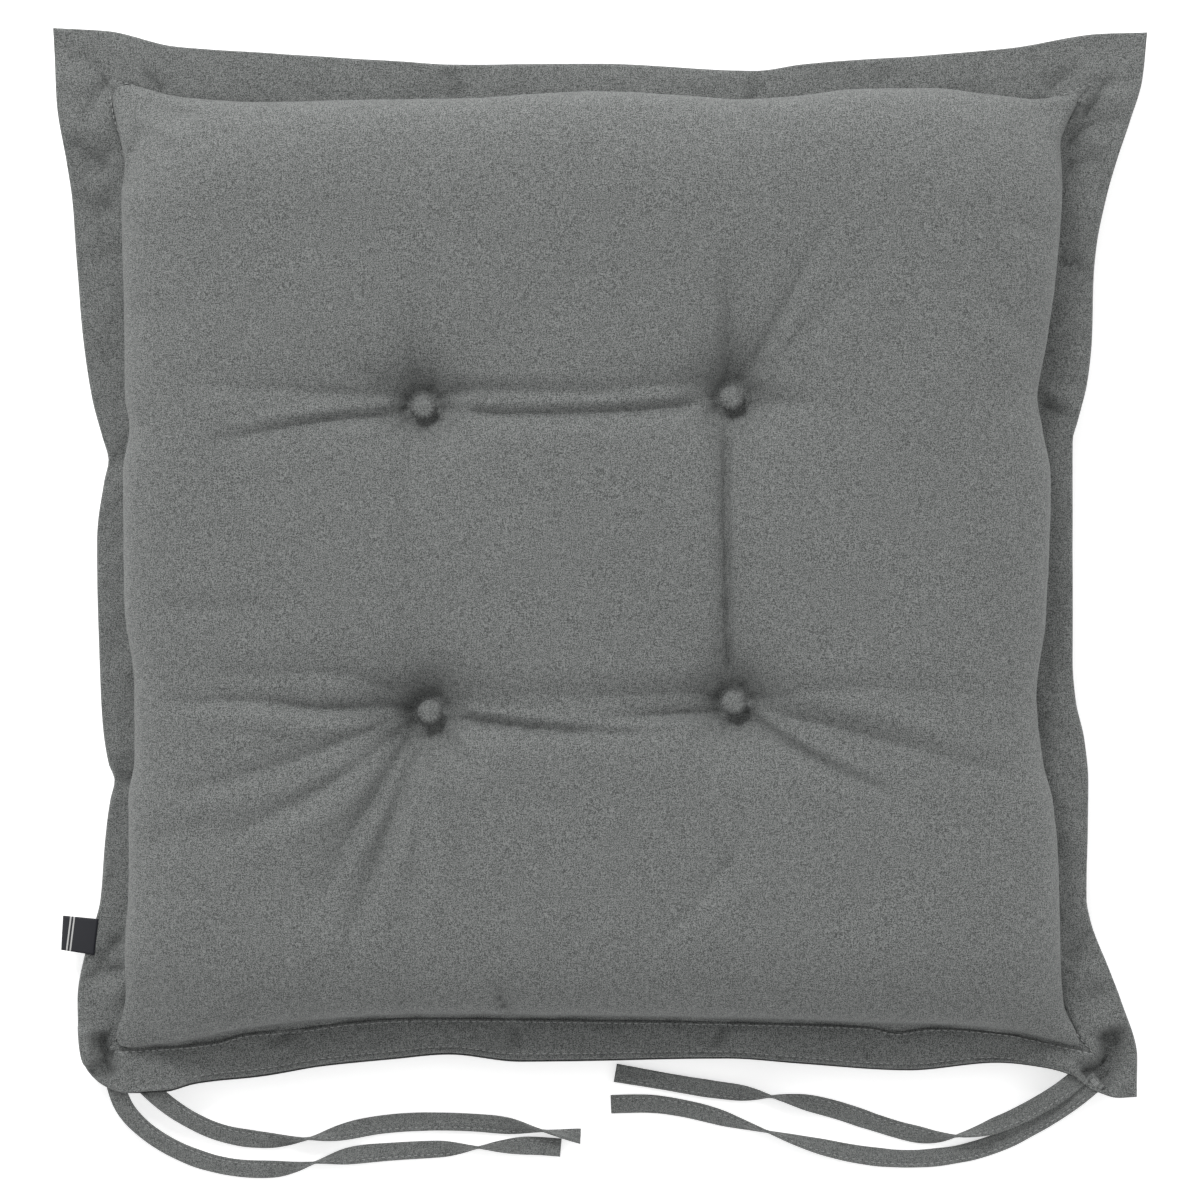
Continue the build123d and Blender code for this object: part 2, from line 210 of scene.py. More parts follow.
# Creases in the cloth: points from where they are deepest, depth and width. Where it isn't 1 and False, also the side
# that stands up, and whether the crease stays deep to its far end
CREASES = (
    ([(-88, 67), (-124, 63.6), (-156, 58), (-183, 53.5)], 2.3, 1.5, -1, False),
    ([(-90, 74.5), (-130, 77), (-196, 80)], 1.5, 3.2),
    ([(-92, 77), (-118, 90), (-150, 100)], 0.7, 3.5),
    ([(-82, 78), (-85.5, 100), (-87, 124)], 1.3, 2.6, -1, False),
    ([(-84, 62), (-87.5, 20), (-86.5, -56)], 0.9, 3.2, 1, True),
    ([(-72, 77), (-36, 77.5), (2, 76.5), (24, 79)], 1.3, 2.0),
    ([(48, 79.5), (20, 80), (-14, 76)], 1.0, 2.2),
    ([(50, 72.6), (18, 68.6), (-14, 67), (-40, 66.6), (-66, 68)], 2.1, 1.5, -1, True),
    ([(58.5, 83), (57.4, 112), (57, 146)], 2.0, 1.6),
    ([(66, 84), (75, 100), (88, 124), (99, 146), (109, 162)], 1.9, 2.0, -1, False),
    ([(70, 82), (92, 104), (134, 139)], 0.9, 3.2, -1, False),
    ([(68, 73), (88, 72), (108, 72)], 1.3, 2.4),
    ([(57.6, 66), (56.4, 30), (57.2, 0), (57.8, -30), (58.6, -56)], 2.8, 1.3, 1, True),
    ([(63, 60), (61.5, 40), (60, 18)], 1.2, 1.6),
    ([(-86, -64.5), (-124, -66), (-160, -62.2), (-207, -64)], 2.8, 2.4),
    ([(-88, -60), (-120, -50), (-200, -50)], 1.4, 3.2),
    ([(-196, -20), (-166, -21), (-128, -17)], 0.8, 2.8),
    ([(-83.5, -74.5), (-97, -97), (-117, -131), (-130, -166)], 3.6, 2.4),
    ([(-80.5, -77), (-92, -108), (-108, -154), (-121, -196)], 4.2, 3.0),
    ([(-86, -73), (-124, -101), (-182, -131)], 3.0, 3.2),
    ([(-90, -70), (-140, -90), (-202, -107)], 2.4, 3.2),
    ([(-76.5, -77), (-84, -130), (-88, -202)], 2.0, 3.8),
    ([(-71, -76), (-65, -85), (-57.5, -95)], 1.9, 1.8),
    ([(-74, -78), (-68, -120), (-55, -196)], 1.8, 3.4),
    ([(-66, -70.6), (-28, -75), (4.6, -77), (38, -75)], 2.6, 1.4),
    ([(53, -67.4), (23, -69), (-4, -70.6)], 2.4, 1.4),
    ([(50, -59), (10, -60), (-60, -59)], 0.9, 2.6, -1, False),
    ([(67, -70), (92, -85.6), (114.4, -97), (140, -107.5)], 2.8, 1.4),
    ([(73, -67), (114, -76.4), (200, -100)], 2.2, 2.8),
    ([(66, -76), (84, -108), (96, -150)], 0.7, 4.0),
    ([(70, -62), (120, -57), (196, -62)], 0.9, 3.0),
    ([(-41, -208), (-44, -200), (-49, -188)], 4.6, 1.8),
    ([(-12, -112), (-30, -106), (-52, -106)], 0.6, 3.0),
    ([(62, -130), (30, -168), (14, -178)], 1.2, 4.0),
    ([(-168, -208), (-158, -198), (-146, -192)], 1.3, 2.8),
    ([(-136, -211), (-131, -198), (-128, -182)], 1.2, 2.8, -1, False),
    ([(-90, -207), (-92, -196), (-94, -184)], 1.3, 2.8),
    ([(80, -209), (82, -198), (88, -188)], 1.2, 2.8),
    ([(132, -212), (138, -202), (150, -192)], 1.4, 2.8, -1, False),
    ([(196, 100), (184, 112), (176, 124)], 1.0, 3.4),
    ([(203, 148), (190, 152), (176, 150)], 0.9, 3.0),
    ([(-216, 116), (-200, 112), (-180, 114)], 0.7, 3.4),
    ([(-206, -130), (-186, -120), (-160, -118)], 0.9, 3.2),
    ([(-217.5, 168), (-214, 184), (-207, 200)], 4.2, 3.4, 1, True),
    ([(-212, 212), (-200, 206), (-182, 203)], 2.8, 3.4, -1, True),
    ([(214, 196), (217, 205), (220, 213)], 1.4, 1.8),
    ([(194, 207), (205, 205), (216, 210)], 2.4, 2.6, 1, True),
    ([(-218, -205), (-208, -211), (-196, -214)], 1.6, 2.2, -1, False),
    ([(190, -204), (206, -212), (220, -221)], 1.6, 2.4),
)
FLANGE_CREASES = (
    ([(-39.5, -211), (-38.6, -217), (-37, -222)], 1.5, 1.4),
    ([(57.5, -211), (54, -217), (51, -222)], 1.6, 1.3),
    ([(-141, -213), (-146, -217), (-154, -219)], 1.2, 1.5),
    ([(-139, -213), (-137, -219), (-134, -224)], 0.9, 1.5),
    ([(201, 73), (209, 70), (217.5, 62)], 2.2, 1.6),
    ([(209, 139), (216, 137), (225, 131)], 1.6, 1.8),
    ([(212, -182), (222, -171), (233, -157)], 1.8, 2.4),
    ([(-66, 211), (-67, 219), (-68.6, 228)], 1.6, 1.4),
    ([(70, 209), (71, 217), (71, 226)], 1.2, 1.8),
    ([(-210, 48), (-218, 48), (-226, 47)], 2.0, 2.4),
    ([(-208, -99), (-215, -99), (-223, -99)], 2.2, 2.4),
    ([(-224, 222), (-230, 214), (-238, 200)], 2.6, 3.2),
    ([(-225, 180), (-234, 187), (-243, 195)], 2.8, 3.0, -1, False),
    ([(-222, 160), (-230, 164), (-239, 170)], 2.0, 3.2),
    ([(-228, 226), (-236, 232), (-246, 238)], 1.6, 3.6),
    ([(-200, 214), (-206, 222), (-216, 232)], 1.8, 3.4),
    ([(221, 204), (226, 210), (231, 218), (238, 222)], 3.2, 2.4, -1, False),
    ([(213, 192), (222, 199), (233, 203), (241, 201)], 3.0, 2.6),
    ([(212, 180), (220, 184), (231, 182)], 2.4, 2.8),
    ([(205, 214), (212, 222), (222, 228)], 2.0, 3.4, -1, False),
    ([(229.6, -213.3), (232.7, -220.5), (232.3, -226), (227.6, -231.7), (218.4, -233.7)], 3.6, 2.0, -1, True),
    ([(233.7, -212.3), (236.8, -221.5), (235.3, -228.7), (231.6, -235.8), (226.5, -241)], 3.2, 2.2, 1, True),
    ([(222, -200), (230, -196), (238, -186)], 2.0, 3.0),
    ([(-232.5, -211), (-233.5, -222), (-232, -230)], -3.4, 2.6, 1, True),
    ([(-228.5, -214), (-227, -224), (-224, -236)], 3.6, 2.0, 1, True),
    ([(-217, -186), (-227, -187), (-238, -193)], 2.8, 2.6),
    ([(-219, -172), (-224, -178), (-230, -188)], 1.8, 2.4),
)
CREASE_STRENGTH = 2.3  # multiplies every depth above
CREASE_REACH = 22  # a crease is felt this far round its points


def near_line(x, y, points, steps=22):
    """For each x, y: distance from a curve through the points, which side it lies on, and how far along, 0 to 1."""
    points = np.array(points, float)
    far = distance_along(points)
    at = np.linspace(0, far[-1], steps + 1)
    line = np.stack([smooth_line(list(zip(far, points[:, k])))(at) for k in (0, 1)], axis=1)
    best = np.full(x.shape, 1e9)
    side, along = np.zeros(x.shape), np.zeros(x.shape)
    for k in range(steps):
        a, d = line[k], line[k + 1] - line[k]
        t = np.clip(((x - a[0]) * d[0] + (y - a[1]) * d[1]) / (d @ d), 0, 1)
        px, py = x - a[0] - t * d[0], y - a[1] - t * d[1]
        r = np.hypot(px, py)
        closer = r < best
        best = np.where(closer, r, best)
        side = np.where(closer, np.sign(d[0] * py - d[1] * px), side)
        along = np.where(closer, (k + t) / steps, along)
    return best, side, along


def creased(x, y, creases):
    """How far the creases lower each point: a sharp fold, a soft hollow round it and a small ridge on one side."""
    fall = np.zeros(x.shape)
    for points, depth, width, *kind in creases:
        ridge, both = kind or (1, False)
        (left, rear), (right, front) = np.min(points, axis=0) - CREASE_REACH, np.max(points, axis=0) + CREASE_REACH
        inside = (x > left) & (x < right) & (y > rear) & (y < front)
        if not inside.any():
            continue
        r, side, along = near_line(x[inside], y[inside], points)
        strength = ease(along / 0.12) * ease((1 - along) / 0.12) if both else (
            (0.45 + 0.55 * ease(along / 0.1)) * ease((1 - along) / 0.9) ** 0.55)
        signed = r * side * ridge
        shape = -0.62 * np.exp(-r / width) - 0.38 * np.exp(-((r / (4.2 * width)) ** 2))
        shape += 0.34 * np.exp(-(((signed - 3.4 * width) / (1.9 * width)) ** 2))
        fall[inside] += CREASE_STRENGTH * depth * strength * shape
    return fall


def valley(x, y, start, end, depth, width, fade):
    """A soft trough along a straight line, deepest at its start."""
    a, d = np.array(start, float), np.array(end, float) - np.array(start, float)
    t = ((x - a[0]) * d[0] + (y - a[1]) * d[1]) / (d @ d)
    across = np.abs((x - a[0]) * -d[1] + (y - a[1]) * d[0]) / np.linalg.norm(d)
    along = fade(np.clip(t, 0, 1)) * np.exp(-((np.maximum(-t, 0) + np.maximum(t - 1, 0)) * 6) ** 2)
    return -depth * along * np.exp(-((across / width) ** 2))


def upper_relief(x, y):
    """Height of the upper face above or below an even crown, in millimetres."""
    z = np.zeros(x.shape)
    for a, b, depth, width in VALLEYS:
        z += valley(x, y, TUFTS[a], TUFTS[b], depth, width, lambda t: 0.55 + 0.45 * (2 * t - 1) ** 2)
    for a, end, depth, width in OUTER_VALLEYS:
        z += valley(x, y, TUFTS[a], end, depth, width, lambda t: (1 - t) ** 1.3)
    z += creased(x, y, CREASES)
    z += sum(height * undulation(x, y, size, seed) for height, size, seed in HILLS)
    for k, (tx, ty) in enumerate(TUFTS.values()):
        r, turn = np.hypot(x - tx, y - ty), np.arctan2(y - ty, x - tx)
        dip = TUFT_DEPTH * sum(part * np.exp(-((r / radius) ** sharp)) for part, radius, sharp in TUFT_WELL)
        gathers = 0.7 * np.sin(9 * turn + k + 1.2 * np.sin(2 * turn + k)) * np.exp(-((r - 9) / 7) ** 2)
        seat = np.exp(-((r / TUFT_SEAT) ** 4))
        z = (z - dip + gathers) * (1 - seat) - TUFT_DEPTH * seat
    return z


# ---------------------------------------------------------------- the covers

def side_wall(cloth, run, length):
    """Section of a plump side, for cloth measured in from the seam: (inward, reach of the belly, share of height)."""
    t = np.clip(cloth / length, 0, 1)
    lower = np.clip(t / BELLY_SHARE, 0, 1) * math.pi / 2
    upper = np.clip((t - BELLY_SHARE) / (1 - BELLY_SHARE), 0, 1) * math.pi / 2
    inward = (1 - np.cos(upper)) ** 1.05
    belly = SIDE_BELLY / (PAD_TOP - SEAM)
    lift = belly * (1 - np.cos(lower)) + (1 - belly) * np.sin(upper) ** 0.86
    return run * inward + np.maximum(cloth - length, 0), np.sin(lower) * (1 - inward), lift


def cloth_steps(count, span, run, length, crowded):
    """Places across a panel's cloth, closer together near each crowded place."""
    total = span + 2 * (length - run)
    fine = np.linspace(0, total, 4000)
    density = 1 + 0.5 * np.exp(-((fine / 20) ** 2)) + 0.5 * np.exp(-(((total - fine) / 20) ** 2))
    for place in crowded:
        density += 1.0 * np.exp(-(((fine - place - length + run) / 12) ** 2))
    gone = np.concatenate([[0], np.cumsum((density[1:] + density[:-1]) / 2)])
    return np.interp(np.linspace(0, gone[-1], count + 1), gone, fine), total


def across(cloth, total, span, run, length):
    """Share of the way over a panel, with and without the steep sides' bunching, and the two sides' sections."""
    near, far = side_wall(cloth, run, length), side_wall(total - cloth, run, length)
    half = cloth < total / 2
    steep = np.where(half, near[0], span - far[0]) / span
    even_near = np.where(cloth < length, run * cloth / length, near[0])
    even_far = np.where(total - cloth < length, run * (total - cloth) / length, far[0])
    even = np.where(half, even_near, span - even_far) / span
    return steep, even, near, far


class Panel:
    """One face of the pad: a grid of cloth inside the stitched line, and the flange layer outside it."""

    def __init__(self, count, run, length, crowded=((), ())):
        self.count = count
        span_x, span_y = PANEL_SPAN
        ax, tx = cloth_steps(count, span_x, run, length, crowded[0])
        ay, ty = cloth_steps(count, span_y, run, length, crowded[1])
        steep_x, self.even_x, near_x, far_x = across(ax, tx, span_x, run, length)
        steep_y, self.even_y, near_y, far_y = across(ay, ty, span_y, run, length)
        edge_x, edge_y = np.minimum(ax, tx - ax), np.minimum(ay, ty - ay)
        self.from_edge = np.minimum(edge_x[None, :], edge_y[:, None])
        free_x, free_y = ease(edge_x / 34), ease(edge_y / 34)
        u = self.even_x[None, :] * (1 - free_y[:, None]) + steep_x[None, :] * free_y[:, None]
        v = self.even_y[:, None] * (1 - free_x[None, :]) + steep_y[:, None] * free_x[None, :]
        self.x, self.y = patch(STITCHED, u, v)
        self.belly(u, v, near_x, far_x, near_y, far_y)
        self.lift = (near_x[2] * far_x[2])[None, :] * (near_y[2] * far_y[2])[:, None]
        for key, at in (("rear", 0), ("rear", -1), ("front", 0), ("front", -1)):
            cx, cy = STITCHED[key][at]
            away = np.hypot(self.x - cx, self.y - cy)
            self.lift *= 1 - CORNER_PINCH * np.exp(-((away / CORNER_REACH) ** 2))

    def belly(self, u, v, near_x, far_x, near_y, far_y):
        """Pushes the fat part of each side out over the flange."""
        def reach(key, at):
            return smooth_line(BULGE[key])(at) - smooth_line(STITCHED[key])(at)

        left, right = reach("left", self.y) * near_x[1][None, :], reach("right", self.y) * far_x[1][None, :]
        rear, front = reach("rear", self.x) * near_y[1][:, None], reach("front", self.x) * far_y[1][:, None]
        self.bellied_x, self.bellied_y = self.x + left + right, self.y + rear + front


def patch(sides, u, v):
    """Points inside four sides, for shares u across and v forwards."""
    run = {k: smooth_line(sides[k]) for k in sides}
    ends = {k: (sides[k][0], sides[k][-1]) for k in sides}
    (rl, rr), (fl, fr) = ends["rear"], ends["front"]
    rear_x = rl[0] + (rr[0] - rl[0]) * u
    front_x = fl[0] + (fr[0] - fl[0]) * u
    left_y = rl[1] + (fl[1] - rl[1]) * v
    right_y = rr[1] + (fr[1] - rr[1]) * v
    flat_x = (rl[0] * (1 - u) + rr[0] * u) * (1 - v) + (fl[0] * (1 - u) + fr[0] * u) * v
    flat_y = (rl[1] * (1 - u) + rr[1] * u) * (1 - v) + (fl[1] * (1 - u) + fr[1] * u) * v
    x = rear_x * (1 - v) + front_x * v + run["left"](left_y) * (1 - u) + run["right"](right_y) * u - flat_x
    y = run["rear"](rear_x) * (1 - v) + run["front"](front_x) * v + left_y * (1 - u) + right_y * u - flat_y
    return x, y


def rim(sides, across_shares, forward_shares):
    """Points once round four sides, from the rear left corner by the rear, right, front and left."""
    u = np.concatenate([across_shares[:-1], np.ones(len(forward_shares) - 1), across_shares[:0:-1],
                        np.zeros(len(forward_shares) - 1)])
    v = np.concatenate([np.zeros(len(across_shares) - 1), forward_shares[:-1], np.ones(len(across_shares) - 1),
                        forward_shares[:0:-1]])
    x, y = patch(sides, u, v)
    return x, y, u, v


# The flange, in section
EDGE_ROWS = (1.9, 1.3, 0.8, 0.4, 0.12, 0.0)  # the last rows of its grid, as distance in from the edge
FLANGE_ROWS = 18
LAYER = 1.35  # half the flange's thickness
TURN = 1.2  # how far in the turned edge is full thickness
DROOP = 2.0  # how far the flange hangs below the seam at its edge
TIP_DROOP = 4.0  # and how much further at the corner tips
CLOSING_ROW = 3.0  # the closing stitches' distance in from the edge
LIP_BACK = 0.9  # how far the upper layer's fold sits back from the under one on the closed rear edge


class Flange:
    """The double layer of cloth outside the stitched line."""

    def __init__(self, panel):
        self.sx, self.sy, self.u, self.v = rim(STITCHED, panel.even_x, panel.even_y)
        self.ox, self.oy, _, _ = rim(FLANGE_EDGE, panel.even_x, panel.even_y)
        self.width = np.hypot(self.ox - self.sx, self.oy - self.sy)
        self.closed = np.where(self.v == 0, ease((self.u - 0.03) / 0.03) * ease((0.97 - self.u) / 0.03), 0)
        nearest = np.minimum(self.u, 1 - self.u) ** 2 + np.minimum(self.v, 1 - self.v) ** 2
        self.tip = np.exp(-nearest / 0.13**2)

    def row(self, distance, upper, lift=0.0):
        """Points once round the flange, that far in from its outer edge, on the upper or under face."""
        back = distance + (LIP_BACK * self.closed if upper else 0)
        q = 1 - back / self.width
        x, y = self.sx + (self.ox - self.sx) * q, self.sy + (self.oy - self.sy) * q
        middle = SEAM - DROOP * (1 - self.tip) * np.clip(q, 0, 1) ** 1.3
        middle -= TIP_DROOP * ease((np.hypot(x, y) - 305) / 45)
        middle += np.clip(q, 0, 1) * (1.3 * undulation(x, y, 31, 11) + 0.9 * undulation(x, y, 15, 12))
        middle += creased(x, y, FLANGE_CREASES)
        pucker = 0.45 * undulation(x, y, 7.5, 14) + 0.25 * undulation(x + y, x - y, 4.5, 15)
        middle += pucker * ease(distance / 2.5)
        turned = np.sqrt(np.clip(1 - (1 - np.clip(distance / TURN, 0, 1)) ** 2, 0, 1))
        half = LAYER * turned * (0.5 + 0.5 * ease(q * self.width / 5)) * (1 + 0.12 * undulation(x, y, 5, 13))
        half -= 0.55 * self.closed * np.exp(-(((distance - CLOSING_ROW) / 0.7) ** 2))
        half += 0.22 * self.closed * (1 - ease(distance / 2)) + lift
        return np.stack([x, y, middle + (half if upper else -half)], axis=1)

    def rows(self, upper):
        """Every row of the flange's grid, from the stitched line outwards."""
        spread = [self.width * (1 - k / FLANGE_ROWS) for k in range(1, FLANGE_ROWS)]
        inner = [np.maximum(w, EDGE_ROWS[0] + 0.3 * (FLANGE_ROWS - k)) for k, w in enumerate(spread)]
        return [self.row(w, upper) for w in inner + [np.full(self.width.shape, e) for e in EDGE_ROWS]]


def face_out(mesh):
    """Drops unused points and turns every face outwards."""
    shape = bmesh.new()
    shape.from_mesh(mesh)
    bmesh.ops.delete(shape, geom=[v for v in shape.verts if not v.link_faces], context="VERTS")
    bmesh.ops.recalc_face_normals(shape, faces=shape.faces)
    shape.to_mesh(mesh)
    shape.free()


def sheet_mesh(name, points, faces, material, tidy=False):
    """A smooth-shaded mesh from points in millimetres."""
    mesh = bpy.data.meshes.new(name)
    mesh.from_pydata((np.asarray(points, float) * MM).tolist(), [], np.asarray(faces).tolist()
                     if isinstance(faces, np.ndarray) else faces)
    if tidy:
        face_out(mesh)
    mesh.shade_smooth()
    piece = bpy.data.objects.new(name, mesh)
    bpy.context.scene.collection.objects.link(piece)
    mesh.materials.append(material)
    return piece


def grid_faces(ids):
    """Four-sided faces over a grid of point numbers."""
    return np.stack([ids[:-1, :-1], ids[:-1, 1:], ids[1:, 1:], ids[1:, :-1]], axis=2).reshape(-1, 4)


def cover_mesh(name, panel, z, rows, upper, material):
    """Joins a panel's grid and its flange rows into one cover."""
    n = panel.count
    grid = np.stack([panel.bellied_x, panel.bellied_y, z], axis=2).reshape(-1, 3)
    ids = np.arange((n + 1) ** 2).reshape(n + 1, n + 1)
    border = np.concatenate([ids[0, :-1], ids[:-1, -1], ids[-1, :0:-1], ids[:0:-1, 0]])
    points, faces, inner = [grid], [grid_faces(ids)], border
    for k, row in enumerate(rows):
        outer = (n + 1) ** 2 + k * len(border) + np.arange(len(border))
        faces.append(np.stack([inner, outer, np.roll(outer, -1), np.roll(inner, -1)], axis=1))
        points.append(row)
        inner = outer
    faces = np.concatenate(faces)
    if not upper:
        faces = faces[:, ::-1]
    return sheet_mesh(name, np.concatenate(points), faces, material)


def top_cover(material):
    """The upper panel with its tufts and creases, and the upper layer of the flange."""
    tufts = list(TUFTS.values())
    places = ([t[0] + PANEL_SPAN[0] / 2 for t in tufts[:2]], [t[1] + PANEL_SPAN[1] / 2 for t in tufts[::2]])
    panel = Panel(266, SIDE_RUN, SIDE_CLOTH, places)
    height = PAD_TOP - SEAM
    x, y = panel.bellied_x, panel.bellied_y
    z = SEAM + height * panel.lift + upper_relief(x, y) * ease(panel.lift * 1.15) ** 1.5
    pucker = np.exp(-panel.from_edge / 9) * ease(panel.from_edge / 3)
    z += 0.9 * pucker * undulation(x, y, 6.5, 21)
    panel.bellied_x = x + 0.9 * pucker * undulation(x, y, 8, 22)
    panel.bellied_y = y + 0.9 * pucker * undulation(x, y, 8, 23)
    z -= 0.5 * (1 - ease(panel.from_edge / 1.5))
    piece = cover_mesh("top_cover_cloth", panel, z, Flange(panel).rows(True), True, material)
    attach(piece, "root")
    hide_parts("top_cover")
    return panel


def under_cover(material):
    """The under panel, which lies flat, and the lower layer of the flange."""
    panel = Panel(170, UNDER_RUN, UNDER_CLOTH)
    x, y = panel.x, panel.y
    z = SEAM * (1 - panel.lift)
    dimple = np.zeros(x.shape)
    for k, (tx, ty) in enumerate(TUFTS.values()):
        r, turn = np.hypot(x - tx, y - ty), np.arctan2(y - ty, x - tx)
        rise = UNDER_TUFT_DEPTH * (0.45 * np.exp(-r / 9) + 0.55 * np.exp(-((r / 30) ** 1.6)))
        seat = np.exp(-((r / UNDER_TUFT_SEAT) ** 4))
        gathers = 0.35 * np.sin(8 * turn + k) * np.exp(-((r - 9) / 6) ** 2)
        rise = (rise + gathers) * (1 - seat) + UNDER_TUFT_DEPTH * seat
        dimple = np.maximum(dimple, rise)
    ripple = 0.5 + 0.35 * undulation(x, y, 38, 31) + 0.15 * undulation(x, y, 14, 32)
    z = np.maximum(z + (dimple + ripple) * ease(panel.lift), 0.02)
    panel.bellied_x, panel.bellied_y = x, y
    piece = cover_mesh("under_cover_cloth", panel, z, Flange(panel).rows(False), False, material)
    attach(piece, "root")
    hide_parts("under_cover")


# ---------------------------------------------------------------- the filling

def pad_heights(x, y, panel):
    """How far the two faces stand off the seam's level, without their small folds."""
    deep = np.zeros(x.shape)
    for tx, ty in TUFTS.values():
        deep = np.maximum(deep, np.exp(-((np.hypot(x - tx, y - ty) / 42) ** 1.6)))
    over = (PAD_TOP - SEAM - (TUFT_DEPTH + 9) * deep - 7) * panel.lift
    return over, (SEAM - UNDER_TUFT_DEPTH * deep) * panel.lift


def filling(name, node, shrink, top_share, bottom_share, material):
    """A closed layer of filling: each face is a share of the way from the seam's level to a cover."""
    panel = Panel(72, SIDE_RUN, SIDE_CLOTH)
    x, y = panel.x, panel.y
    over, under = pad_heights(x, y, panel)
    top = SEAM + np.where(top_share > 0, over, under) * top_share
    bottom = SEAM + np.where(bottom_share > 0, over, under) * bottom_share
    n = panel.count
    grid = np.stack([x * shrink, y * shrink, top], axis=2)
    floor = np.stack([x * shrink, y * shrink, bottom], axis=2)
    ids = np.arange((n + 1) ** 2).reshape(n + 1, n + 1)
    low = ids + (n + 1) ** 2
    low[0], low[-1], low[:, 0], low[:, -1] = ids[0], ids[-1], ids[:, 0], ids[:, -1]
    points = np.concatenate([grid.reshape(-1, 3), floor.reshape(-1, 3)])
    faces = np.concatenate([grid_faces(ids), grid_faces(low)[:, [0, 3, 2, 1]]])
    piece = sheet_mesh(name, points, faces, material, tidy=True)
    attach(piece, "root")
    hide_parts(node)


# ---------------------------------------------------------------- sewing

STITCH = 2.1  # length of thread that shows
STITCH_PITCH = 3.1
THREAD = 0.5
SIDES_OF_THREAD = 6
# A stitch from end to end: place as a share of its length, share of full thickness, and height
STITCH_STATIONS = ((-0.5, 0.35, -0.3), (-0.34, 0.85, -0.05), (0, 1, 0.06), (0.34, 0.85, -0.05), (0.5, 0.35, -0.3))


def rows_of_stitches(name, runs, material, length=STITCH, pitch=STITCH_PITCH, thick=THREAD):
    """One mesh of thread stitches along each run of points; a stitch's two ends dip into the cloth."""
    points, faces = [], []
    sides = SIDES_OF_THREAD
    turns = np.linspace(0, 2 * math.pi, sides, endpoint=False)
    rng = np.random.default_rng(41)
    for run, face in runs:
        run = np.asarray(run, float)
        face = np.broadcast_to(np.asarray(face, float), run.shape)
        far = distance_along(run)
        for middle in np.arange(pitch, far[-1] - pitch / 2, pitch):
            spots = [np.array(read_line(middle + s * length, far, run)) for s in (-0.5, 0, 0.5)]
            up = np.array(read_line(middle, far, face))
            ahead = spots[2] - spots[0]
            if np.linalg.norm(ahead) < 1e-6:
                continue
            ahead /= np.linalg.norm(ahead)
            aside = np.cross(up, ahead)
            aside /= np.linalg.norm(aside)
            twist = 0.12 * rng.uniform(-1, 1)
            heading = ahead * math.cos(twist) + aside * math.sin(twist)
            aside = np.cross(up, heading)
            first = len(points)
            for along, fat, dip in STITCH_STATIONS:
                centre = spots[1] + heading * along * length + up * dip
                for turn in turns:
                    points.append(centre + thick / 2 * fat * (aside * math.cos(turn) + up * math.sin(turn)))
            last = first + (len(STITCH_STATIONS) - 1) * sides
            for ring in range(first, last, sides):
                for j in range(sides):
                    a, b = ring + j, ring + (j + 1) % sides
                    faces.append((a, b, b + sides, a + sides))
            faces.append(tuple(first + j for j in reversed(range(sides))))
            faces.append(tuple(last + j for j in range(sides)))
    return sheet_mesh(name, points, faces, material)


def body_and_closing_stitches(panel, material):
    """The row that holds the flange flat round the padding, on both faces, and the row that closes the rear edge."""
    edge = Flange(panel)
    up, down = (0, 0, 1), (0, 0, -1)
    body = []
    for upper, face in ((True, up), (False, down)):
        line = edge.row(edge.width - 1.3 - (LIP_BACK * edge.closed if upper else 0), upper, 0.08)
        body.append((np.vstack([line, line[:1]]), face))
    piece = rows_of_stitches("body_stitches", body, material)
    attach(piece, "root")
    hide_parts("body_stitching")
    span = (edge.v == 0) & (edge.u > 0.09) & (edge.u < 0.91)
    closing = [(edge.row(np.full(edge.width.shape, CLOSING_ROW), upper, 0.1)[span], face)
               for upper, face in ((True, up), (False, down))]
    piece = rows_of_stitches("closing_stitches", closing, material)
    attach(piece, "root")
    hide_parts("closing_stitching")


# ---------------------------------------------------------------- buttons

PLEATS = 16


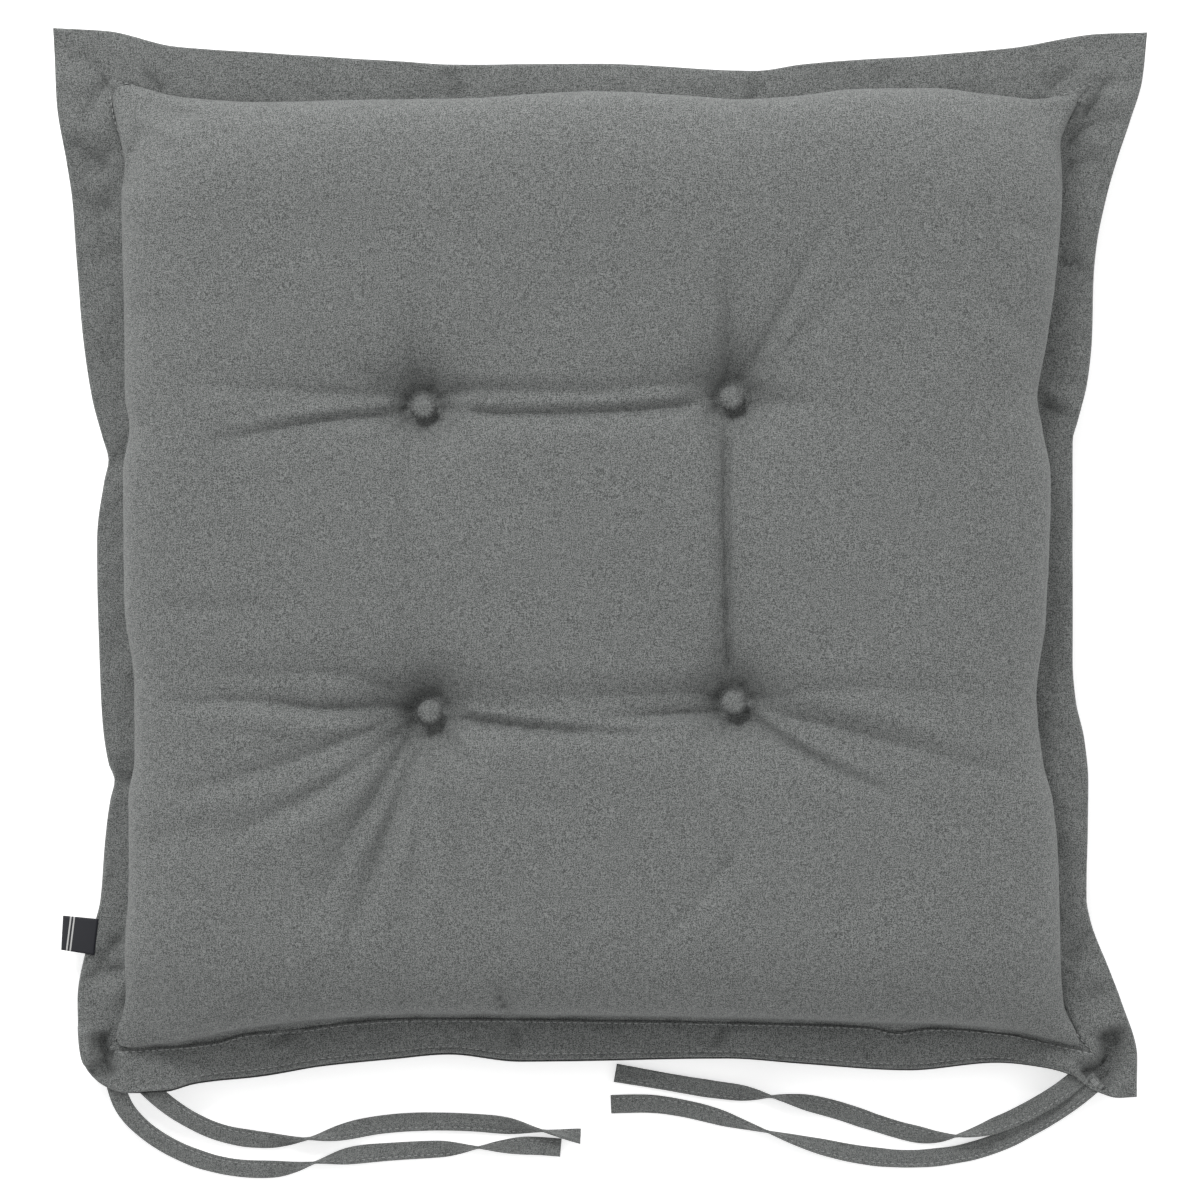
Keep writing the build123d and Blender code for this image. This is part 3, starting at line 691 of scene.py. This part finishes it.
def button_cloth(name, node, upper, seed, material):
    """A domed button covered in gathered cloth, with uneven pleats round its rim."""
    low, high = (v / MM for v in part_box(node))
    cx, cy = (low.x + high.x) / 2, (low.y + high.y) / 2
    radius, height = (high.x - low.x) / 2, high.z - low.z
    rng = np.random.default_rng(seed)
    turns = 112
    angle = np.linspace(0, 2 * math.pi, turns, endpoint=False)
    pleat = np.zeros(turns)
    for k in range(PLEATS):
        middle = 2 * math.pi * (k + rng.uniform(-0.3, 0.3)) / PLEATS
        away = (angle - middle + math.pi) % (2 * math.pi) - math.pi
        pleat += rng.uniform(0.45, 1.0) * np.exp(-((away / rng.uniform(0.06, 0.11)) ** 2))
    # section from the crown to the skirt: share of radius, share of height, and how much the pleats show
    section = ((0.12, 1.0, 0), (0.3, 0.99, 0), (0.48, 0.965, 0.02), (0.62, 0.93, 0.08), (0.74, 0.88, 0.25),
               (0.84, 0.8, 0.6), (0.92, 0.68, 0.95), (0.98, 0.52, 1.0), (1.0, 0.36, 1.0), (0.985, 0.2, 0.9),
               (0.95, 0.06, 0.7), (0.88, 0.0, 0.3))
    points, faces = [(cx, cy, height)], []
    for share, rise, shown in section:
        r = radius * share * (1 + 0.11 * shown * (pleat - 0.45)) + 0.05 * shown * rng.standard_normal(turns)
        z = height * rise + 0.85 * shown * (pleat - 0.4)
        for a, rr, zz in zip(angle, r, z):
            points.append((cx + rr * math.cos(a), cy + rr * math.sin(a), zz))
    faces += [(0, 1 + k, 1 + (k + 1) % turns) for k in range(turns)]
    for s in range(len(section) - 1):
        a = 1 + s * turns
        faces += [(a + k, a + turns + k, a + turns + (k + 1) % turns, a + (k + 1) % turns) for k in range(turns)]
    points = np.array(points)
    points[:, 2] = low.z + points[:, 2] if upper else high.z - points[:, 2]
    if upper:
        points[:, 2] = np.maximum(points[:, 2], low.z - 0.6)
    else:
        faces = [f[::-1] for f in faces]
    piece = sheet_mesh(name, points, faces, material)
    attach(piece, "root")
    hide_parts(node)


# ---------------------------------------------------------------- ties

TAPE_WIDTH = 8.4
TAPE_THICKNESS = 1.4
# Each tie's route, from just inside the flange to its cut end, and its roll in degrees by share of its length
TIES = {
    "left_inner": (
        [(-212, -235.5, 13.4), (-203.5, -244, 12.8), (-192, -253.2, 9.4), (-176, -261.8, 4.6), (-158, -265.4, 1.5),
         (-139, -265.2, 3.0), (-123.5, -262.8, 3.2), (-105.2, -258.6, 1.1), (-86.9, -256.8, 0.9),
         (-64.1, -256.8, 0.9), (-41.2, -258.6, 1.3), (-24, -261.2, 3.0), (-9, -263.4, 1.3)],
        [(0, 0), (0.28, 8), (0.41, 85), (0.53, 172), (0.8, 182), (0.91, 258), (1, 318)]),
    "left_outer": (
        [(-223, -234.5, 13.0), (-221, -243.5, 12.2), (-216.3, -253.3, 9.0), (-206, -263.3, 4.6), (-192, -271.6, 1.7),
         (-176, -276.9, 1.0), (-160, -279, 1.2), (-143, -278.3, 3.0), (-129, -274.9, 3.2), (-112, -271.8, 1.2),
         (-92, -270.4, 1.0), (-75, -269.4, 1.6), (-58, -268.6, 3.4), (-42, -267.8, 2.2), (-29, -267.8, 1.0),
         (-18, -268.8, 0.9)],
        [(0, 0), (0.38, 5), (0.5, 85), (0.61, 172), (0.73, 186), (0.83, 262), (0.93, 340), (1, 352)]),
    "right_inner": (
        [(221, -234, 13.2), (213.5, -240.6, 12.4), (204.5, -246.8, 9.6), (191.5, -254.4, 5.6), (178.4, -259.8, 3.4),
         (166, -263.2, 3.6), (154, -264, 3.4), (141, -261.8, 1.5), (126, -257.2, 1.0), (109.8, -251.6, 1.0),
         (91.5, -247, 1.6), (75, -244.6, 3.4), (60, -243, 2.6), (45.8, -241.1, 1.0), (27.5, -237.9, 0.9),
         (7, -234.4, 0.9)],
        [(0, 0), (0.14, 6), (0.27, 78), (0.38, 165), (0.55, 182), (0.66, 258), (0.76, 342), (1, 360)]),
    "right_outer": (
        [(228.5, -236.5, 12.6), (221, -243, 11.4), (210.5, -251.3, 7.4), (197, -260, 3.2), (183, -266.9, 1.4),
         (165, -272.3, 0.9), (142, -274.5, 0.9), (119, -272.3, 0.9), (100.7, -268, 1.4), (82.4, -262.9, 3.0),
         (64.1, -257.4, 3.6), (46, -252.2, 2.0), (29, -249, 1.0), (18, -248.4, 0.9), (5, -248.9, 0.9)],
        [(0, 0), (0.1, 0), (0.5, 6), (0.63, 60), (0.72, 112), (0.84, 172), (1, 180)]),
}
TAPE_STEP = 0.0009  # metres between the rings of a tape's mesh
TAPE_STITCHES = 2.5  # how far from the middle of a tape its stitches run


def spline_through(points):
    """Points read off a smooth spline over a tie's route, in metres."""
    curve = bpy.data.curves.new("route", "CURVE")
    curve.dimensions = "3D"
    curve.resolution_u = 16
    spline = curve.splines.new("NURBS")
    spline.points.add(len(points) - 1)
    for knot, place in zip(spline.points, points):
        knot.co = (*(c * MM for c in place), 1)
    spline.order_u = 3
    spline.use_endpoint_u = True
    holder = bpy.data.objects.new("route", curve)
    line = bpy.data.meshes.new_from_object(holder)
    found = np.array([v.co for v in line.vertices])
    bpy.data.objects.remove(holder)
    bpy.data.curves.remove(curve)
    bpy.data.meshes.remove(line)
    return found


def tape_section(count=17):
    """Once round a folded tape's section: (across, up), with a stitched groove and a shallower second one."""
    share = np.sin(math.pi / 2 * np.linspace(1, -1, count))
    across = TAPE_WIDTH / 2 * share
    up = TAPE_THICKNESS / 2 * np.sqrt(1 - share**8)
    up *= 1 - 0.85 * np.exp(-(((across - TAPE_STITCHES) / 0.62) ** 2))
    up *= 1 - 0.55 * np.exp(-(((across + 1.6) / 1.1) ** 2))
    return np.concatenate([across, across[-2:0:-1]]), np.concatenate([up, -up[-2:0:-1]])


def tie(which, tape, thread):
    """A folded and stitched tape tie, lying in twists on the floor, with its end sewn between the flange's layers."""
    route, roll_knots = TIES[which]
    line = spline_through(route)
    far = distance_along(line)
    stations = np.linspace(0, far[-1], int(far[-1] / TAPE_STEP))
    middle = np.stack(read_line(stations, far, line), axis=1) / MM
    ahead = np.gradient(middle, axis=0)
    for _ in range(8):
        ahead[1:-1] = (ahead[:-2] + ahead[1:-1] + ahead[2:]) / 3
    ahead /= np.linalg.norm(ahead, axis=1)[:, None]
    level = np.cross((0, 0, 1), ahead)
    level /= np.linalg.norm(level, axis=1)[:, None]
    over = np.cross(ahead, level)
    share = stations / far[-1]
    roll = np.radians(smooth_line(roll_knots)(share))[:, None]
    aside, normal = level * np.cos(roll) + over * np.sin(roll), over * np.cos(roll) - level * np.sin(roll)
    clear = TAPE_WIDTH / 2 * np.abs(np.sin(roll)) + TAPE_THICKNESS * np.abs(np.cos(roll))
    middle[:, 2] = np.maximum(middle[:, 2], clear[:, 0])
    across, up = tape_section()
    wander = 1 + 0.05 * undulation(stations * 1000, stations * 0, 9, len(which))
    curl = 0.25 * undulation(stations * 1000, stations * 0 + 40, 14, len(which) + 7)
    points, n, m = [], len(stations), len(across)
    for k in range(n):
        cupped = up + curl[k] * ((across / 4) ** 2 - 0.4)
        ring = middle[k] + np.outer(across * wander[k], aside[k]) + np.outer(cupped, normal[k])
        ring[:, 2] = np.maximum(ring[:, 2], 0.02)
        points.append(ring)
    faces = [(k * m + j, k * m + (j + 1) % m, (k + 1) * m + (j + 1) % m, (k + 1) * m + j)
             for k in range(n - 1) for j in range(m)]
    faces += [tuple(reversed(range(m))), tuple((n - 1) * m + j for j in range(m))]
    faces = [f[::-1] for f in faces]
    piece = sheet_mesh(f"tie_{which}_tape", np.concatenate(points), faces, tape)
    row = TAPE_STITCHES * wander[:, None]
    lifted = TAPE_THICKNESS / 4
    runs = [(middle + aside * row + normal * lifted * s, normal * s) for s in (1, -1)]
    inside = stations > 0.008
    runs = [(a[inside], b[inside]) for a, b in runs]
    stitches = rows_of_stitches(f"tie_{which}_stitches", runs, thread, 1.7, 3.0, 0.42)
    for part in (piece, stitches):
        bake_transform(part)
    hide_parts(f"tie_{which}", f"tie_tail_{which}")


def bar_tack(side, material):
    """The close zigzag that fastens a corner's two ties between the flange's layers."""
    runs = []
    for which in (f"{side}_inner", f"{side}_outer"):
        a, b = (np.array(p, float) for p in TIES[which][0][:2])
        ahead = (b - a) / np.linalg.norm(b - a)
        aside = np.cross((0, 0, 1), ahead)
        aside /= np.linalg.norm(aside)
        start = a + ahead * 1.5 + np.array((0, 0, 0.62))
        runs += [(np.array([start + ahead * s - aside * 3.2, start + ahead * s + aside * 3.2]), (0, 0, 1))
                 for s in np.linspace(0, 1.8, 4)]
    piece = rows_of_stitches(f"bar_tacks_{side}_thread", runs, material, 2.4, 2.0, 0.4)
    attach(piece, "root")
    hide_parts(f"bar_tacks_{side}")


# ---------------------------------------------------------------- label

LABEL_TURN = math.radians(7.0)  # how far it leans towards the front
LABEL_ROOT = (-230.5, -171.2)  # the middle of its sewn-in ends
LABEL_REACH = 16.0
LABEL_HALF = 8.3  # half its width
LABEL_CLOTH = 0.42
LABEL_GAP = 0.16  # half the gap inside the fold
LABEL_LINES = (0.0128, 0.0112)  # the pale lines' distances from the root, in metres


def label(material):
    """A folded woven label, both ends sewn into the flange's left edge."""
    out = np.array((-math.cos(LABEL_TURN), math.sin(LABEL_TURN), 0))
    aside = np.array((-out[1], out[0], 0))
    outer, inner = LABEL_GAP + LABEL_CLOTH, LABEL_GAP
    bend = np.linspace(-math.pi / 2, math.pi / 2, 9)
    straight = np.linspace(0, LABEL_REACH - outer, 14)
    section = [(s, -outer) for s in straight[:-1]]
    section += [(LABEL_REACH - outer + outer * math.cos(t), outer * math.sin(t)) for t in bend]
    section += [(s, outer) for s in straight[-2::-1]]
    section += [(s, inner) for s in straight[:-1]]
    section += [(LABEL_REACH - outer + inner * math.cos(t), inner * math.sin(t)) for t in bend[::-1]]
    section += [(s, -inner) for s in straight[-2::-1]]
    columns = np.linspace(-LABEL_HALF, LABEL_HALF, 19)
    points = []
    for w in columns:
        for s, z in section:
            share = s / LABEL_REACH
            place = np.array((*LABEL_ROOT, SEAM - 1.9)) + out * s * (1 - 0.035 * share * (w / LABEL_HALF))
            place += aside * w * (1 - 0.06 * share)
            wave = 0.25 * share * math.sin(2.2 * w / LABEL_HALF + 0.4)
            place[2] += z * (1 + 0.35 * share) - 0.8 * share**1.5 + wave
            points.append(place)
    m, n = len(section), len(columns)
    faces = [(k * m + j, (k + 1) * m + j, (k + 1) * m + (j + 1) % m, k * m + (j + 1) % m)
             for k in range(n - 1) for j in range(m)]
    half = m // 2
    for first, flip in ((0, False), ((n - 1) * m, True)):
        for j in range(half - 1):
            f = (first + j, first + j + 1, first + m - 2 - j, first + m - 1 - j)
            faces.append(f[::-1] if flip else f)
    piece = sheet_mesh("label_woven", points, faces, material, tidy=True)
    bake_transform(piece)
    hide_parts("label_flap", "label_tail")


# ---------------------------------------------------------------- materials

COVER_DARK = (0.072, 0.076, 0.074)
COVER_LIGHT = (0.262, 0.271, 0.266)
# How strongly the weave's colour follows each cause
YARN_STRENGTH = 4.4
FIBRE_STRENGTH = 7.4
CLOUD_STRENGTH = 0.14
# The crown term is painted light: it darkens the gaps between threads as painted shade and lightens their crowns as a
# painted highlight
CROWN_SHADE_STRENGTH = 1.5


class Nodes:
    """Lays shader nodes in a tree, with their inputs given as values or as other nodes' sockets."""

    def __init__(self, tree):
        self.tree = tree

    def add(self, kind, inputs=None, **settings):
        node = self.tree.nodes.new("ShaderNode" + kind)
        for name, value in settings.items():
            setattr(node, name, value)
        return self.give(node, inputs or {})

    def give(self, node, inputs):
        """Sets a node's inputs, each to a value or from another node's socket."""
        for key, value in inputs.items():
            if isinstance(value, bpy.types.NodeSocket):
                self.tree.links.new(value, node.inputs[key])
            else:
                node.inputs[key].default_value = value
        return node

    def math(self, operation, *values):
        return self.add("Math", dict(enumerate(values)), operation=operation).outputs[0]

    def plus(self, a, b):
        return self.math("ADD", a, b)

    def minus(self, a, b):
        return self.math("SUBTRACT", a, b)

    def times(self, a, b):
        return self.math("MULTIPLY", a, b)

    def swing(self, value, middle, strength):
        """How far a value is from its middle, times a strength."""
        return self.times(self.minus(value, middle), strength)

    def choose(self, mask, low, high):
        """low where mask is 0, high where it is 1."""
        return self.add("Mix", {0: mask, 2: low, 3: high}, data_type="FLOAT").outputs[0]

    def blend(self, share, low, high):
        """A colour between two others."""
        return self.add("Mix", {0: share, 6: low, 7: high}, data_type="RGBA").outputs[2]

    def noise(self, place, scale, detail=2.0, roughness=0.5):
        found = self.add("TexNoise", {"Vector": place, "Scale": scale, "Detail": detail, "Roughness": roughness})
        return found.outputs["Fac"]


def new_group(name, numbers, colours=()):
    """A node group with these inputs, and Color, Height and Roughness out."""
    tree = bpy.data.node_groups.new(name, "ShaderNodeTree")
    inputs = [(title, value, "Float") for title, value in numbers]
    inputs += [(title, (*value, 1), "Color") for title, value in colours]
    for title, value, kind in inputs:
        tree.interface.new_socket(title, in_out="INPUT", socket_type="NodeSocket" + kind).default_value = value
    for title, kind in (("Color", "Color"), ("Height", "Float"), ("Roughness", "Float")):
        tree.interface.new_socket(title, in_out="OUTPUT", socket_type="NodeSocket" + kind)
    return tree, Nodes(tree), tree.nodes.new("NodeGroupInput"), tree.nodes.new("NodeGroupOutput")


def melange_weave():
    """Plain weave of unevenly dyed yarns, with painted shade in the gaps between threads and a painted highlight on
    their crowns, laid on whichever plane the surface faces.
    """
    tree, lay, given, out = new_group(
        "melange_weave", [("Threads per metre", 2000), ("Unevenness", 0.5), ("Wear", 0.1)],
        [("Dark yarn", (0.1, 0.1, 0.1)), ("Light yarn", (0.3, 0.3, 0.3))])
    spot = lay.add("TexCoord")
    place = lay.add("SeparateXYZ", {0: spot.outputs["Object"]})
    facing = lay.add("SeparateXYZ", {0: spot.outputs["Normal"]})
    x, y, z = place.outputs
    nx, ny, nz = (lay.math("ABSOLUTE", s) for s in facing.outputs)
    level = lay.math("GREATER_THAN", nz, 0.6)
    sideways = lay.times(lay.math("GREATER_THAN", nx, ny), lay.minus(1.0, level))
    u = lay.choose(sideways, x, y)
    v = lay.choose(level, z, y)
    count = given.outputs["Threads per metre"]
    drift = lay.noise(spot.outputs["Object"], 90.0, 1.0)
    u = lay.plus(lay.times(u, count), lay.times(drift, 5.0))
    v = lay.plus(lay.times(v, count), lay.times(drift, -4.0))
    warp, weft = (lay.math("SINE", lay.times(thread, math.pi)) for thread in (u, v))
    both = lay.times(warp, weft)
    over = lay.math("GREATER_THAN", both, 0.0)
    crown = lay.math("SQRT", lay.math("ABSOLUTE", both))
    # each yarn's own dye, drawn out along it
    along_v = lay.add("CombineXYZ", {0: u, 1: lay.times(v, 0.16), 2: 3.0}).outputs[0]
    along_u = lay.add("CombineXYZ", {0: lay.times(u, 0.16), 1: v, 2: 17.0}).outputs[0]
    yarn = lay.choose(over, lay.noise(along_u, 0.95, 2.0, 0.6), lay.noise(along_v, 0.95, 2.0, 0.6))
    fibre = lay.noise(spot.outputs["Object"], 2000.0, 1.0, 0.6)
    cloud = lay.noise(spot.outputs["Object"], 160.0, 3.0, 0.6)
    shade = lay.plus(lay.swing(yarn, 0.5, YARN_STRENGTH), lay.swing(fibre, 0.5, FIBRE_STRENGTH))
    shade = lay.plus(shade, lay.swing(cloud, 0.5, CLOUD_STRENGTH))
    shade = lay.times(shade, given.outputs["Unevenness"])
    # painted shade in the gaps between threads and a painted highlight on their crowns, from the weave's crown height
    shade = lay.plus(shade, lay.swing(crown, 0.62, CROWN_SHADE_STRENGTH))
    worn = lay.math("GREATER_THAN", lay.noise(spot.outputs["Object"], 700.0, 2.0), 0.63)
    shade = lay.plus(lay.plus(shade, 0.5), lay.times(worn, given.outputs["Wear"]))
    mix = lay.add("Clamp", {"Value": shade}).outputs[0]
    lay.give(out, {"Color": lay.blend(mix, given.outputs["Dark yarn"], given.outputs["Light yarn"]),
                   "Height": lay.plus(lay.times(crown, 0.7), lay.times(fibre, 0.3)),
                   "Roughness": lay.plus(0.84, lay.times(fibre, 0.14))})
    return tree


def soft_fibre():
    """Matted loose fibres or a fine foam, as an uneven surface."""
    tree, lay, given, out = new_group("soft_fibre", [("Grain per metre", 600), ("Depth", 0.6)],
                                      [("Dark", (0.4, 0.4, 0.4)), ("Light", (0.8, 0.8, 0.8))])
    spot = lay.add("TexCoord").outputs["Object"]
    coarse = lay.noise(spot, given.outputs["Grain per metre"], 5.0, 0.7)
    fine = lay.noise(spot, lay.times(given.outputs["Grain per metre"], 4.0), 3.0, 0.6)
    lay.give(out, {"Color": lay.blend(coarse, given.outputs["Dark"], given.outputs["Light"]),
                   "Height": lay.times(lay.plus(coarse, lay.times(fine, 0.5)), given.outputs["Depth"]),
                   "Roughness": lay.plus(0.75, lay.times(fine, 0.2))})
    return tree


def new_material(name):
    """A new material, a way to lay its nodes, and its shader."""
    made = bpy.data.materials.new(name)
    made.use_nodes = True
    return made, Nodes(made.node_tree), made.node_tree.nodes["Principled BSDF"]


def finished(name, group, values, bump, depth, sheen=0.0, metallic=0.0):
    """A material whose colour, roughness and bump come from a group, with its own constants on the shader."""
    made, lay, shader = new_material(name)
    values = {key: (*value, 1) if isinstance(value, tuple) else value for key, value in values.items()}
    effect = lay.add("Group", values, node_tree=group).outputs
    relief = lay.add("Bump", {"Strength": bump, "Distance": depth, "Height": effect["Height"]})
    lay.give(shader, {"Base Color": effect["Color"], "Roughness": effect["Roughness"], "Normal": relief.outputs[0],
                      "Sheen Weight": sheen, "Sheen Roughness": 0.38, "Metallic": metallic,
                      "Specular IOR Level": 0.2 if sheen else 0.4})
    return made


def woven_label():
    """Dark satin weave with two plain pale lines across it."""
    made, lay, shader = new_material("label")
    spot = lay.add("TexCoord").outputs["Object"]
    out = (-math.cos(LABEL_TURN), math.sin(LABEL_TURN), 0)
    reach, across_it = (lay.add("VectorMath", {0: spot, 1: way}, operation="DOT_PRODUCT").outputs["Value"]
                        for way in (out, (-out[1], out[0], 0)))
    beyond = lay.minus(reach, (LABEL_ROOT[0] * out[0] + LABEL_ROOT[1] * out[1]) * MM)
    pale = lay.math("MAXIMUM", *(lay.math("LESS_THAN", lay.math("ABSOLUTE", lay.minus(beyond, line)), 0.00034)
                                 for line in LABEL_LINES))
    ribs = lay.math("SINE", lay.times(lay.plus(across_it, lay.times(reach, 0.5)), 14000.0))
    grain = lay.noise(spot, 3000.0, 3.0, 0.6)
    dark = lay.blend(grain, (0.003, 0.0035, 0.006, 1), (0.014, 0.015, 0.023, 1))
    raised = lay.plus(lay.times(ribs, 0.5), lay.times(pale, 0.8))
    relief = lay.add("Bump", {"Strength": 0.5, "Distance": 0.00012, "Height": raised})
    lay.give(shader, {"Base Color": lay.blend(pale, dark, (0.55, 0.55, 0.54, 1)),
                      "Roughness": lay.plus(0.42, lay.times(grain, 0.3)), "Normal": relief.outputs[0],
                      "Sheen Weight": 0.04})
    return made


# Material, name, grain per metre, depth of grain, dark and light, strength and depth of bump, sheen, metallic
FIBRES = (
    ("thread", "thread", 2500.0, 0.5, (0.24, 0.247, 0.243), (0.46, 0.47, 0.465), 0.5, 0.0002, 0.2, 0.0),
    ("twine", "twine", 1800.0, 0.8, (0.3, 0.29, 0.27), (0.55, 0.53, 0.5), 0.7, 0.0003, 0.0, 0.0),
    ("wadding", "wadding", 260.0, 1.0, (0.62, 0.62, 0.6), (0.86, 0.86, 0.84), 0.8, 0.002, 0.0, 0.0),
    ("foam", "foam", 1100.0, 0.7, (0.55, 0.5, 0.36), (0.8, 0.75, 0.58), 0.7, 0.0006, 0.0, 0.0),
    ("shell", "button_shell", 900.0, 0.15, (0.42, 0.42, 0.43), (0.62, 0.62, 0.63), 0.2, 0.0001, 0.0, 1.0),
    ("back", "button_back", 700.0, 0.2, (0.05, 0.05, 0.05), (0.09, 0.09, 0.09), 0.3, 0.0002, 0.0, 0.0),
)
# Material, name, unevenness of the yarn, wear, strength and depth of bump, sheen
CLOTHS = (
    ("cover", "cover_cloth", 0.66, 0.05, 0.55, 0.0003, 0.1),
    ("tape", "tie_tape", 0.5, 0.05, 0.5, 0.00025, 0.2),
    ("button", "button_cloth", 0.55, 0.2, 0.5, 0.00025, 0.3),
)


def make_materials():
    weave, fibre = melange_weave(), soft_fibre()
    made = {}
    for key, name, unevenness, wear, bump, depth, sheen in CLOTHS:
        values = {"Threads per metre": 1950.0, "Unevenness": unevenness, "Wear": wear, "Dark yarn": COVER_DARK,
                  "Light yarn": COVER_LIGHT}
        made[key] = finished(name, weave, values, bump, depth, sheen)
    for key, name, grain, grain_depth, dark, light, bump, depth, sheen, metallic in FIBRES:
        values = {"Grain per metre": grain, "Depth": grain_depth, "Dark": dark, "Light": light}
        made[key] = finished(name, fibre, values, bump, depth, sheen, metallic)
    made["label"] = woven_label()
    return made


def finish_inner_nodes(finishes):
    """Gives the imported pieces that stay, all inside the pad, their own materials."""
    for node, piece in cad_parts.items():
        for part, finish in (("twine_", "twine"), ("_shell_", "shell"), ("_back_", "back")):
            if part in node:
                for place in piece.material_slots:
                    place.material = finishes[finish]


# ---------------------------------------------------------------- the set

VIEW_WIDTH = 0.549  # metres across the frame, at the seam's level
VIEW_MIDDLE_Y = -0.0169
CAMERA_HEIGHT = 2.6
SENSOR = 36
SKY_TOP = 0.46
SKY_SIDES = 1.34
SKY_FRONT = 0.3  # how much brighter the sky is towards the front
LIGHTS = (("key", (-0.65, 1.6, 1.75), 0.9, 28), ("fill", (1.9, -0.15, 1.25), 1.2, 3))  # place, size, power
FLOOR_GLOW = 0.5


def camera():
    data = bpy.data.cameras.new("camera")
    data.sensor_width = SENSOR
    data.lens = SENSOR * (CAMERA_HEIGHT - SEAM * MM) / VIEW_WIDTH
    eye = bpy.data.objects.new("camera", data)
    eye.location = (0, VIEW_MIDDLE_Y, CAMERA_HEIGHT)
    bpy.context.scene.collection.objects.link(eye)
    bpy.context.scene.camera = eye


def soft_light(name, place, size, power):
    data = bpy.data.lights.new(name, "AREA")
    data.shape = "DISK"
    data.size = size
    data.energy = power
    lamp = bpy.data.objects.new(name, data)
    lamp.location = place
    lamp.rotation_mode = "QUATERNION"
    lamp.rotation_quaternion = Vector(place).to_track_quat("Z", "Y")
    bpy.context.scene.collection.objects.link(lamp)


def studio():
    bpy.ops.mesh.primitive_plane_add(size=12)
    floor = bpy.context.object
    floor.name = "floor"
    white, lay, shader = new_material("floor_white")
    lay.give(shader, {"Base Color": (0.95, 0.95, 0.95, 1), "Roughness": 1.0, "Specular IOR Level": 0.0,
                      "Emission Color": (1, 1, 1, 1), "Emission Strength": FLOOR_GLOW})
    floor.data.materials.append(white)
    world = bpy.data.worlds.new("studio")
    world.use_nodes = True
    lay = Nodes(world.node_tree)
    way = lay.add("SeparateXYZ", {0: lay.add("TexCoord").outputs["Generated"]})
    low_down = lay.minus(1.0, lay.math("ABSOLUTE", way.outputs["Z"]))
    glow = lay.plus(SKY_TOP, lay.times(low_down, SKY_SIDES - SKY_TOP))
    front = lay.plus(1.0, lay.times(way.outputs["Y"], SKY_FRONT))
    lay.give(world.node_tree.nodes["Background"], {"Color": (1, 1, 1, 1), "Strength": lay.times(glow, front)})
    bpy.context.scene.world = world
    for light in LIGHTS:
        soft_light(*light)
    bpy.context.scene.view_settings.view_transform = "Standard"


finish = make_materials()
finish_inner_nodes(finish)
panel = top_cover(finish["cover"])
under_cover(finish["cover"])
filling("wadding_top_layer", "wadding_top", 0.972, 0.93, 0.79, finish["wadding"])
filling("foam_slab", "foam_core", 0.955, 0.77, -0.66, finish["foam"])
filling("wadding_under_layer", "wadding_under", 0.972, -0.68, -0.9, finish["wadding"])
body_and_closing_stitches(panel, finish["thread"])
for seed, corner in enumerate(CORNERS):
    button_cloth(f"upper_button_{corner}", f"upper_button_cloth_{corner}", True, 50 + seed, finish["button"])
    button_cloth(f"under_button_{corner}", f"under_button_cloth_{corner}", False, 60 + seed, finish["button"])
for which in TIES:
    tie(which, finish["tape"], finish["thread"])
for side in ("left", "right"):
    bar_tack(side, finish["thread"])
label(finish["label"])
camera()
studio()
